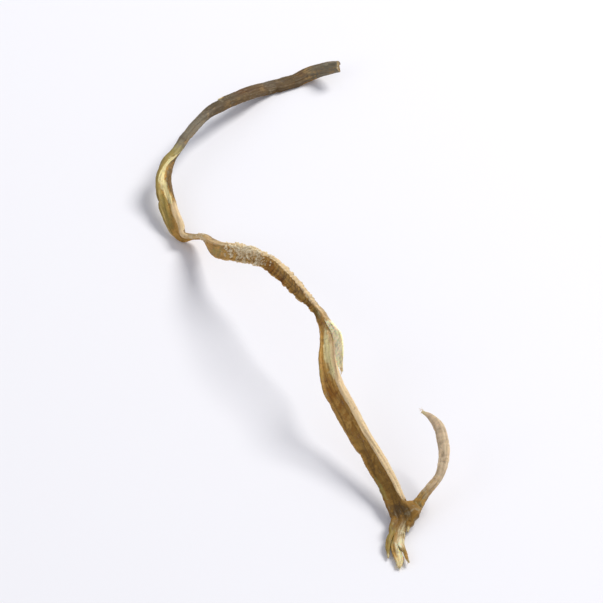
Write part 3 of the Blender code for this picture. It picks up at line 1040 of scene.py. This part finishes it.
# At the tips: the tip, how many, their length, how far they spread
TIP_TUFTS = (
    ("flap", 9, 0.6, 0.6),
    ("arm", 10, 0.6, 0.5),
    ("corner", 4, 0.3, 0.5),
    ("left_tip", 4, 0.4, 0.4),
    ("right_tip", 4, 0.4, 0.4),
    ("end", 8, 0.6, 0.4),
)


def draws(draw, limits):
    """One number drawn between each pair of limits, in their order."""
    return [draw.uniform(*pair) for pair in limits]


def drawn_fibre(draw, root, direction, length):
    direction = direction / np.linalg.norm(direction)
    bend = np.array(draws(draw, FIBRE_BENDS)) * FIBRE_BEND
    return fibre_tube(root, direction, length * draw.uniform(*FIBRE_LENGTHS),
                      draw.uniform(*FIBRE_THICKNESSES), bend)


def make_fibres():
    draw = random.Random(FIBRE_SEED)
    shapes = []
    for distance, side_of_strip, count, length, spread in EDGE_TUFTS:
        rows = curve(ROUTE, ALONG, np.array([distance - TUFT_HALF, distance + TUFT_HALF]))
        heading, face, side = (rows_of[0] for rows_of in frames(rows[:, :3], rows[:, TURN]))
        for _ in range(count):
            to_edge, out, along = draws(draw, EDGE_ROOT)
            root = rows[0, :3] + side * rows[0, WIDTH] / 2 * side_of_strip * to_edge
            root = root + face * out + heading * along
            to_side, out = draws(draw, EDGE_LEAN)
            aside = side * side_of_strip * to_side + face * out
            shapes.append(drawn_fibre(draw, root, heading + aside * spread, length))
    for name, count, length, spread in TIP_TUFTS:
        tip, heading, face, side, width = TIPS[name]
        for _ in range(count):
            across, back = draws(draw, TIP_ROOT)
            root = tip + side * width * across - heading * back
            to_side, out = draws(draw, TIP_LEAN)
            aside = side * to_side + face * out
            shapes.append(drawn_fibre(draw, root, heading + aside * spread, length))
    return join_shapes(shapes)


fibre_points, fibre_faces = make_fibres()
fibres = make_object("torn_fibres", to_model(fibre_points), fibre_faces)
print("fibres:", len(fibre_faces), "faces")

# %% [markdown]
# ## Salt
#
# The stalk was packed in salt before it dried, and grains still cling to it, most thickly where the
# strip rises from its fold. A grain of salt is a cube whose corners have worn off. Particles would be
# the usual tool, but they are lost on export. So each grain is a small mesh of its own, and all of
# them are joined into one.

# %% The shape of one grain
CORNER_LEFT = 0.62     # part of half a side that is left beside a cut corner


def worn_cube():
    """Points and faces of a cube of side 1 with its corners cut off."""
    points = []
    for corner in itertools.product((-0.5, 0.5), repeat=3):
        for axis in range(3):
            point = list(corner)
            point[axis] *= CORNER_LEFT
            points.append(point)
    points = np.array(points)
    faces = [(first, first + 1, first + 2) for first in range(0, len(points), 3)]
    for axis, level in itertools.product(range(3), (-0.5, 0.5)):
        on_face = [k for k in range(len(points)) if abs(points[k][axis] - level) < 0.01]
        others = [a for a in range(3) if a != axis]
        on_face.sort(key=lambda k: math.atan2(points[k][others[1]], points[k][others[0]]))
        faces.append(tuple(on_face))
    outward_faces = []
    for face in faces:
        rows = points[list(face)]
        normal = np.cross(rows[1] - rows[0], rows[2] - rows[0])
        outward_faces.append(face if normal @ rows.mean(axis=0) > 0 else face[::-1])
    return points, outward_faces


GRAIN_POINTS, GRAIN_FACES = worn_cube()
print("a grain has", len(GRAIN_POINTS), "points and", len(GRAIN_FACES), "faces")

# %% [markdown]
# ### Where the grains are
#
# A seeded draw picks points of the strip, with more chance where the strip is salty and inside the
# clumps that a coarse noise gives. Each grain is set in the surface there, turned at random and
# stretched a little. It stores how much of the strip's brown it took up, least on the pale rims.

# %% Salt grains
GRAINS = 1700
SALT_SEED = 12
CLUMPS = ((2.2, 2.2, 2.2), 83.0)
CLUMP_GAIN = 3.0            # higher makes the clumps' borders sharper
OUTSIDE_CLUMPS = 0.06       # the chance of a grain there, where 1 is added to it inside them
SALT_FOCUS = 1.5            # higher draws the grains to the saltiest places
GRAIN_SIZE = (0.05, 0.19)   # smallest and largest usual side, in millimetres
SMALL_SHARE = 2.0           # higher draws more of the small ones
GRAIN_STRETCH = (0.75, 1.2)
GRAIN_SUNK = 0.45           # part of a grain that is below the surface
CLEAN_ON_RIM = 0.7          # part of the brown that a grain on a rim doesn't take up


def random_turn(draw):
    """A random rotation, as three unit directions."""
    first = np.array([draw.gauss(0, 1) for _ in range(3)])
    first /= np.linalg.norm(first)
    second = np.cross(first, [draw.gauss(0, 1) for _ in range(3)])
    second /= np.linalg.norm(second)
    return np.stack([first, second, np.cross(first, second)])


def scatter_salt(mesh, salt, rim, places):
    """Points and faces of the grains, and how much brown each one took up, least on the rims."""
    draw = random.Random(SALT_SEED)
    clumps = np.clip(noise_at(places, *CLUMPS) * CLUMP_GAIN, 0.0, 1.0)
    chance = salt ** SALT_FOCUS * (OUTSIDE_CLUMPS + clumps)
    chosen = draw.choices(range(len(chance)), weights=chance, k=GRAINS)
    shapes = []
    browned = []
    for k in chosen:
        point = np.array(mesh.vertices[k].co) / MM
        normal = np.array(mesh.vertices[k].normal)
        size = GRAIN_SIZE[0] + (GRAIN_SIZE[1] - GRAIN_SIZE[0]) * draw.random() ** SMALL_SHARE
        stretch = [draw.uniform(*GRAIN_STRETCH) for _ in range(3)]
        middle = point + normal * size * (0.5 - GRAIN_SUNK)
        shapes.append((middle + GRAIN_POINTS * stretch * size @ random_turn(draw), GRAIN_FACES))
        browned.append(draw.random() * (1 - CLEAN_ON_RIM * rim[k]))
    return *join_shapes(shapes), browned


salt_points, salt_faces, salt_browned = scatter_salt(
    strip.data, np.array(skin.values["salt"]), skin.values["rim"], np.array(skin.places))
salt_points[:, 2] = np.maximum(salt_points[:, 2], 0.0)
salt = make_object("salt_grains", salt_points * MM, salt_faces, smooth=False)
store(salt, "browned", np.repeat(salt_browned, len(GRAIN_POINTS)))
print("salt:", GRAINS, "grains,", len(salt_faces), "faces")

# %% [markdown]
# ## The finishes
#
# All the finishes are built from nodes. In the node editor each would be placed and wired by hand.
# In a script a small helper adds a node and fills its inputs, either with a plain value or with
# another node's output, so that a line of code reads like a sum.

# %% Helpers for nodes
def add(tree, kind, inputs=None, **settings):
    """Add a node, set its properties, and fill its inputs with values or with outputs."""
    node = tree.nodes.new(kind)
    for name, value in settings.items():
        setattr(node, name, value)
    for name, value in (inputs or {}).items():
        if isinstance(value, bpy.types.NodeSocket):
            tree.links.new(value, node.inputs[name])
        else:
            node.inputs[name].default_value = value
    return node


def math_node(tree, operation, first, second=0.0, clamp=False):
    node = add(tree, "ShaderNodeMath", {0: first, 1: second}, operation=operation, use_clamp=clamp)
    return node.outputs[0]


def weighted(tree, first, first_weight, second, second_weight):
    """Two values, each times its weight, added up."""
    return math_node(tree, "ADD", math_node(tree, "MULTIPLY", first, first_weight),
                     math_node(tree, "MULTIPLY", second, second_weight))


def mixed(tree, factor, first, second):
    """The colour first where the factor is 0, and second where it is 1."""
    return add(tree, "ShaderNodeMix", {0: factor, 6: first, 7: second}, data_type="RGBA").outputs[2]


def between(tree, value, low, high, to_low=0.0, to_high=1.0):
    """The value spread from low..high to to_low..to_high, and held at the ends."""
    ends = {"Value": value, "From Min": low, "From Max": high, "To Min": to_low, "To Max": to_high}
    return add(tree, "ShaderNodeMapRange", ends, interpolation_type="SMOOTHSTEP").outputs[0]


def noise_node(tree, place, scale, detail=2.0, roughness=0.5, distortion=0.0):
    inputs = {"Vector": place, "Scale": scale, "Detail": detail, "Roughness": roughness,
              "Distortion": distortion}
    return add(tree, "ShaderNodeTexNoise", inputs).outputs[0]


def times(tree, vector, factors):
    """A vector with each of its parts multiplied by its own factor."""
    return add(tree, "ShaderNodeVectorMath", {0: vector, 1: factors}, operation="MULTIPLY").outputs[0]


def stored(tree, name):
    """A value that the mesh stores at its points."""
    node = add(tree, "ShaderNodeAttribute", attribute_name=name)
    return node.outputs["Vector"] if name == "strip_place" else node.outputs["Fac"]


def new_material(name, plain_values):
    """A material, its node tree and its shader, which has these plain values all over."""
    material = bpy.data.materials.new(name)
    material.use_nodes = True
    shader = material.node_tree.nodes["Principled BSDF"]
    for socket, value in plain_values.items():
        shader.inputs[socket].default_value = value
    return material, material.node_tree, shader


shader_kinds = [name for name in dir(bpy.types) if name.startswith("ShaderNode")]
print("Blender", bpy.app.version_string, "has", len(shader_kinds), "kinds of shader nodes")

# %% [markdown]
# ### Colours
#
# The dried stalk runs from amber and gold to cream where it is thin, and from olive to dark brown
# where it is thick. Colours are given as they look on a screen, from 0 to 255, and nodes calculate
# with the strength of light. So a function turns one into the other.

# %% Colours
def srgb(red, green, blue):
    """A colour as seen on a screen, 0 to 255, in the linear values that nodes take."""
    values = [part / 255 for part in (red, green, blue)]
    return (*((v / 12.92 if v <= 0.04045 else ((v + 0.055) / 1.055) ** 2.4) for v in values), 1.0)


GOLD = srgb(196, 150, 74)
PALE_GOLD = srgb(216, 180, 108)
AMBER = srgb(156, 102, 26)
SHADED = srgb(118, 84, 20)
RUST = srgb(128, 74, 32)
OLIVE = srgb(152, 138, 74)
GREY_BROWN = srgb(112, 106, 90)
# Dark brown of the strip, and painted shade on a side turned from the light
UMBER_AND_SHADE = srgb(78, 62, 38)
# For dark specks, and for the painted shade in the creases
DARK_BROWN = srgb(76, 52, 24)
CREAM = srgb(222, 197, 154)
# Pale yellow of the strip, and a painted highlight along lit ridges
PALE_YELLOW_AND_HIGHLIGHT = srgb(240, 226, 166)
PALE_GREEN = srgb(252, 246, 204)
PALE_TAN = srgb(222, 200, 168)
FIBRE = srgb(220, 204, 152)
SALT_WHITE = srgb(240, 225, 190)
SALT_BROWN = srgb(188, 154, 100)
print("gold as light:", [round(part, 3) for part in GOLD[:3]])

# %% [markdown]
# ### Grain and salt dust as node groups
#
# The skin and the torn fibres share two effects: the fine grain of a stalk, which runs lengthwise
# and has dark specks in it, and a dust of dried salt. Each could be built again in both materials.
# A node group is built once, and its named inputs let each material use it with its own values.

# %% Node group for the lengthwise grain
STREAKS_SHOW = (0.36, 0.64)   # from and to where a noise turns from nothing to all
SPECKS_SHOW = (0.56, 0.70)    # higher, so that specks are few
GRIT_HEIGHT_SHARE = 0.6       # how high the grit stands beside the streaks


def new_group(name, inputs, outputs):
    tree = bpy.data.node_groups.new(name, "ShaderNodeTree")
    for socket_name, kind, default in inputs:
        made = tree.interface.new_socket(name=socket_name, in_out="INPUT", socket_type=kind)
        if default is not None:
            made.default_value = default
    for socket_name, kind in outputs:
        tree.interface.new_socket(name=socket_name, in_out="OUTPUT", socket_type=kind)
    return tree, tree.nodes.new("NodeGroupInput").outputs, tree.nodes.new("NodeGroupOutput").inputs


def use_group(tree, group, **inputs):
    filled = {name.replace("_", " "): value for name, value in inputs.items()}
    return add(tree, "ShaderNodeGroup", filled, node_tree=group).outputs


def make_grain():
    """Streaks, blotches and specks that follow the strip. The place is along, across and up, in mm."""
    tree, given, result = new_group(
        "lengthwise_grain",
        (("Place", "NodeSocketVector", None), ("Streak Length", "NodeSocketFloat", 2.0),
         ("Streaks Across", "NodeSocketFloat", 7.0)),
        (("Streaks", "NodeSocketFloat"), ("Blotches", "NodeSocketFloat"), ("Specks", "NodeSocketFloat"),
         ("Height", "NodeSocketFloat")))
    squeeze = math_node(tree, "DIVIDE", 1.0, given["Streak Length"])
    scale = add(tree, "ShaderNodeCombineXYZ",
                {"X": squeeze, "Y": given["Streaks Across"], "Z": given["Streaks Across"]}).outputs[0]
    # Each noise has its scale, detail, roughness and distortion
    streaks = noise_node(tree, times(tree, given["Place"], scale), 1.0, 3.0, 0.55)
    blotches = noise_node(tree, given["Place"], 1.5, 5.0, 0.65, 0.6)
    specks = noise_node(tree, given["Place"], 4.2, 3.0, 0.6, 0.3)
    grit = noise_node(tree, given["Place"], 9.0, 3.0, 0.6)
    tree.links.new(between(tree, streaks, *STREAKS_SHOW), result["Streaks"])
    tree.links.new(between(tree, blotches, *STREAKS_SHOW), result["Blotches"])
    tree.links.new(between(tree, specks, *SPECKS_SHOW), result["Specks"])
    rough = math_node(tree, "MULTIPLY", grit, GRIT_HEIGHT_SHARE)
    tree.links.new(math_node(tree, "ADD", streaks, rough), result["Height"])
    return tree


GRAIN = make_grain()
print("grain:", len(GRAIN.nodes), "nodes")

# %% [markdown]
# ### Salt dust
#
# Brine that dried on the strip left a dust of salt, too fine for grains of its own. It lies in specks
# and in clouds. A plain white mix would look like fog, so two noises are added up, and dust lies only
# where their sum is over a threshold, which falls as the amount of salt rises.

# %% Node group for the salt dust
DUST_FINE = 0.65        # share of the fine noise in the dust, where the rest is clouds
DUST_CLOUDS = 0.35
DUST_THRESHOLD = 0.72   # what their sum has to reach before any dust lies
DUST_LOWERED = 0.30     # how far an amount of 1 lowers that
DUST_BORDER = 0.07


def make_salt_dust():
    """Where dried salt lies as a white dust, for an amount from 0 to 1."""
    tree, given, result = new_group(
        "salt_dust",
        (("Place", "NodeSocketVector", None), ("Amount", "NodeSocketFloat", 0.0)),
        (("Cover", "NodeSocketFloat"),))
    specks = noise_node(tree, given["Place"], 6.0, 4.0, 0.7)
    clouds = noise_node(tree, given["Place"], 1.6)
    sum_of_both = weighted(tree, specks, DUST_FINE, clouds, DUST_CLOUDS)
    lowered = math_node(tree, "MULTIPLY", given["Amount"], DUST_LOWERED)
    needed = math_node(tree, "SUBTRACT", DUST_THRESHOLD, lowered)
    over = math_node(tree, "SUBTRACT", sum_of_both, needed)
    tree.links.new(between(tree, over, 0.0, DUST_BORDER), result["Cover"])
    return tree


SALT_DUST = make_salt_dust()
print("salt dust:", len(SALT_DUST.nodes), "nodes")

# %% [markdown]
# ### The skin of the strip
#
# One material covers the whole strip, because its colours run into each other: golden to amber
# in the channel and darker where the core is thick, cream on the rims, grey-brown on the back, rusty
# and olive in patches. Painted shade makes the creases nearly black and darkens a side turned from
# the light, and a painted highlight runs along lit ridges. A material for each would leave hard
# borders.
# The stored values say where each colour is, and the grain breaks up every border. The colours are
# laid over each other in the order of a list, so that the last ones, such as a torn flank, lie on top.

# %% How the skin's colours are laid over each other
# A stored value; from and to where its colour shows and how broken up the border is, or None for the
# value as it is; then how strong the colour is, and the colour
SKIN_COLOURS = (
    ("shade", (0.0, 1.0, 0.5), 0.85, SHADED),
    ("amber", (0.3, 0.9, 0.7), 0.9, AMBER),
    ("back", None, 0.5, GREY_BROWN),
    ("grey", (0.2, 0.9, 0.7), 0.9, GREY_BROWN),
    ("rim", (0.15, 0.75, 0.45), 0.9, CREAM),
    ("olive", (0.3, 0.9, 0.6), 0.75, OLIVE),
    ("rust", (0.3, 0.9, 0.7), 0.85, RUST),
    # Dark brown, and painted shade on a side turned from the light
    ("umber_and_shade", (0.2, 0.9, 0.6), 0.8, UMBER_AND_SHADE),
    # Pale yellow, partly a painted highlight along lit ridges
    ("pale_and_highlight", (0.3, 0.8, 0.5), 0.9, PALE_YELLOW_AND_HIGHLIGHT),
    ("flake", (0.1, 0.9, 0.5), 0.85, PALE_GREEN),
    ("bleached", (0.1, 0.9, 0.5), 0.85, PALE_TAN),
    ("torn", (0.3, 0.8, 0.6), 0.85, FIBRE),
)
BROKEN_BY_BLOTCHES = 0.6   # share of the blotches in what breaks up the borders
BROKEN_BY_STREAKS = 0.4
AMBER_BLOTCHES = 0.6       # how strong these are, from 0 to 1
PALE_STREAKS = 0.35
DARK_SPECKS = 0.35
# How strong the painted shade in the creases is
PAINTED_CREASE_SHADE = 0.5
WHITE_DUST = 0.6
LOST_ON_RIM = 0.5          # part of a crease's darkness that is lost on a rim, where light gets in


def tinted(tree, colour, amount, strength, tint):
    return mixed(tree, math_node(tree, "MULTIPLY", amount, strength), colour, tint)


def skin_colour(tree, grain, dust):
    """The skin's base colour, from gold and amber to a dust of salt on top."""
    streaks, blotches = grain["Streaks"], grain["Blotches"]
    around_zero = math_node(tree, "SUBTRACT", weighted(
        tree, blotches, BROKEN_BY_BLOTCHES, streaks, BROKEN_BY_STREAKS), 0.5)
    colour = tinted(tree, GOLD, blotches, AMBER_BLOTCHES, AMBER)
    colour = tinted(tree, colour, streaks, PALE_STREAKS, PALE_GOLD)
    for name, border, strength, tint in SKIN_COLOURS:
        amount = stored(tree, name)
        if border:
            low, high, broken = border
            shifted = math_node(tree, "MULTIPLY", around_zero, broken)
            amount = between(tree, math_node(tree, "ADD", amount, shifted), low, high)
        colour = tinted(tree, colour, amount, strength, tint)
    colour = tinted(tree, colour, grain["Specks"], DARK_SPECKS, DARK_BROWN)
    # Painted shade in the creases, weaker on the rims
    lost = math_node(tree, "MULTIPLY", stored(tree, "rim"), LOST_ON_RIM)
    left = math_node(tree, "SUBTRACT", 1.0, lost)
    crease_shaded = math_node(tree, "MULTIPLY", stored(tree, "crease_shade"), left)
    colour = tinted(tree, colour, crease_shaded, PAINTED_CREASE_SHADE, DARK_BROWN)
    return tinted(tree, colour, dust, WHITE_DUST, SALT_WHITE)


print(len(SKIN_COLOURS), "colours are laid over gold and amber")

# %% [markdown]
# ### How the skin takes the light
#
# A dried stalk has a dull, leathery sheen. The streaks of its grain stand up a little and are rougher
# than what lies between them, and salt dust is rougher still. Grain as fine as that would need
# many times the points, so here a bump does it. The wrinkles are in the mesh already.
# The flap that peeled off is thin enough to let light through, so there, and only a little elsewhere,
# light also scatters under the surface.

# %% Skin material
SKIN_SHINE = 0.25                     # half the usual value, for a dull skin
SKIN_ROUGHNESS = (0.5, 0.7)           # between the streaks and on them
SALT_ROUGHENS = 0.3
GRAIN_BUMP = 0.00005                  # height of the grain, in metres
GRAIN_BUMP_STRENGTH = 0.6
LIGHT_REACHES = (1.0, 0.6, 0.25)      # how far red, green and blue get under the skin
LIGHT_DEPTH = 0.0003                  # and how far that is, in metres
THROUGH_SKIN = (0.15, 0.8)            # how much light goes that way, usually and in the flap
FLAP_SETS_IN = (0.2, 1.0)             # from and to what stored value the flap's share sets in


def make_skin_material():
    material, tree, shader = new_material("dried_skin", {
        "Specular IOR Level": SKIN_SHINE,
        "Subsurface Radius": LIGHT_REACHES,
        "Subsurface Scale": LIGHT_DEPTH,
    })
    place = stored(tree, "strip_place")
    grain = use_group(tree, GRAIN, Place=place, Streak_Length=2.0, Streaks_Across=6.0)
    dust = use_group(tree, SALT_DUST, Place=place, Amount=stored(tree, "salt"))["Cover"]
    tree.links.new(skin_colour(tree, grain, dust), shader.inputs["Base Color"])
    roughness = between(tree, grain["Streaks"], 0.0, 1.0, *SKIN_ROUGHNESS)
    salted = math_node(tree, "MULTIPLY", dust, SALT_ROUGHENS)
    tree.links.new(math_node(tree, "ADD", roughness, salted, clamp=True), shader.inputs["Roughness"])
    bump = add(tree, "ShaderNodeBump", {
        "Height": grain["Height"], "Strength": GRAIN_BUMP_STRENGTH, "Distance": GRAIN_BUMP})
    tree.links.new(bump.outputs[0], shader.inputs["Normal"])
    through = between(tree, stored(tree, "flake"), *FLAP_SETS_IN, *THROUGH_SKIN)
    tree.links.new(through, shader.inputs["Subsurface Weight"])
    return material


strip.data.materials.append(make_skin_material())
print("skin nodes:", len(strip.data.materials[0].node_tree.nodes))

# %% [markdown]
# ### Bare fibres
#
# A torn fibre shows the inside of the stalk: pale straw, golden in blotches, with some dust of salt.
# The fibres could store a place along themselves, as the strip does. They are so thin that nobody
# would see the difference, so the grain reads where they are in space, turned into millimetres.

# %% Fibre material
TO_MM = (1000, 1000, 1000)
DUST_ON_FIBRES = 0.3


def make_fibre_material():
    material, tree, shader = new_material("bare_fibre", {"Roughness": 0.6})
    place = times(tree, add(tree, "ShaderNodeNewGeometry").outputs["Position"], TO_MM)
    grain = use_group(tree, GRAIN, Place=place, Streak_Length=0.5, Streaks_Across=3.0)
    dust = use_group(tree, SALT_DUST, Place=place, Amount=DUST_ON_FIBRES)["Cover"]
    colour = mixed(tree, grain["Blotches"], FIBRE, GOLD)
    tree.links.new(mixed(tree, dust, colour, SALT_WHITE), shader.inputs["Base Color"])
    return material


fibres.data.materials.append(make_fibre_material())
print("fibre nodes:", len(fibres.data.materials[0].node_tree.nodes))

# %% [markdown]
# ### Salt
#
# A grain of salt is a clear crystal. Its worn faces are dull, and it has taken up brown from the
# strip. Glass would let the dark creases show through, and the real grains look milky. So they are
# nearly white and a little smoother than the skin, and light scatters under their surface.

# %% Salt material
def make_salt_material():
    material, tree, shader = new_material("salt", {
        "Roughness": 0.35,
        "Subsurface Weight": 0.3,
        "Subsurface Radius": (1.0, 1.0, 1.0),
        "Subsurface Scale": 0.0001,
    })
    colour = mixed(tree, stored(tree, "browned"), SALT_WHITE, SALT_BROWN)
    tree.links.new(colour, shader.inputs["Base Color"])
    return material


salt.data.materials.append(make_salt_material())
print("materials:", sorted(material.name for material in bpy.data.materials))

# %% [markdown]
# ## What each piece rides on
#
# The strip has no joints, so the solid model has one body, the root, and all the pieces ride on it.
# The swept strip stands in for the solid model's own. The fibres and the grains are extra pieces,
# which the solid model doesn't have.

# %% Riding
for piece in (strip, fibres, salt):
    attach(piece, "root")
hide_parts("stalk")
print("pieces:", [piece.name for piece in (strip, fibres, salt)])

# %% [markdown]
# ## The floor
#
# The strip lies on a plain, pale and dull floor, which takes its shadow and gives some light back to
# its underside. One large square is enough, because its edges are out of the picture.

# %% Floor
FLOOR_HALF = 3.0       # in metres

corners = [(-FLOOR_HALF, -FLOOR_HALF, 0), (FLOOR_HALF, -FLOOR_HALF, 0),
           (FLOOR_HALF, FLOOR_HALF, 0), (-FLOOR_HALF, FLOOR_HALF, 0)]
floor = make_object("floor", np.array(corners, float), [(0, 1, 2, 3)])
floor.data.materials.append(new_material("pale_floor", {
    "Base Color": srgb(236, 236, 240),
    "Roughness": 0.8,
})[0])
print("floor:", 2 * FLOOR_HALF, "m wide")

# %% [markdown]
# ## The camera
#
# The photograph was taken from the front and well above, about 42 degrees, and it shows hardly any
# perspective. An orthographic camera would show none at all. A long lens from far away comes nearer
# to a real one. Its length follows from how much of the strip is to fill the picture.

# %% Camera
CAMERA_DISTANCE = 2.0  # in metres
FRAME_HEIGHT = 0.0520  # what the picture shows at that distance, in metres
AIM_SHIFT = -0.0018    # along Y, so that the strip is in the middle of the picture
ELEVATION = math.radians(42.0)


def aim(thing, target):
    thing.rotation_euler = (Vector(target) - thing.location).to_track_quat("-Z", "Y").to_euler()


centre = (cad_low + cad_high) / 2
camera_data = bpy.data.cameras.new("camera")
camera_data.sensor_width = 36.0
camera_data.lens = camera_data.sensor_width * CAMERA_DISTANCE / FRAME_HEIGHT
camera = add_to_scene("camera", camera_data)
target = centre + Vector((0, AIM_SHIFT, 0))
camera.location = target + Vector((0, -math.cos(ELEVATION), math.sin(ELEVATION))) * CAMERA_DISTANCE
aim(camera, target)
bpy.context.scene.camera = camera
print("lens:", round(camera_data.lens), "mm")

# %% [markdown]
# ## The lights
#
# The photograph's light is warm and comes from behind on the right, so the near flanks are in soft
# shadow. A sun lamp would draw hard shadow edges, as sunlight does. A disk that is nearly half as
# wide as it is far away gives the soft ones that the photograph has. A weak, cool fill from the
# other side and a dim sky keep the shadows from turning black.

# %% Lights
# Name, place in metres, width, power in watts, colour
LIGHTS = (
    ("key", (0.32, 0.22, 0.42), 0.26, 2.9, (1.0, 0.98, 0.95)),
    ("fill", (-0.4, -0.3, 0.35), 0.40, 0.4, (0.92, 0.94, 1.0)),
)
SKY_COLOUR = (0.92, 0.93, 1.0, 1.0)
SKY_STRENGTH = 0.5


def area_light(name, location, size, power, colour):
    data = bpy.data.lights.new(name, "AREA")
    data.shape = "DISK"
    data.size = size
    data.energy = power
    data.color = colour
    light = add_to_scene(name, data)
    light.location = location
    aim(light, (0, 0, 0))


for light_row in LIGHTS:
    area_light(*light_row)
world = bpy.data.worlds.new("studio")
bpy.context.scene.world = world
world.use_nodes = True
sky = world.node_tree.nodes["Background"]
sky.inputs["Color"].default_value = SKY_COLOUR
sky.inputs["Strength"].default_value = SKY_STRENGTH
bpy.context.scene.view_settings.view_transform = "Standard"
print("lights:", sorted(light.name for light in bpy.data.lights))

# %% [markdown]
# ## Sizes
#
# The finished look keeps the solid model's size, though the wrinkles and fibres may stand out past
# the solid by a few tenths of a millimetre.
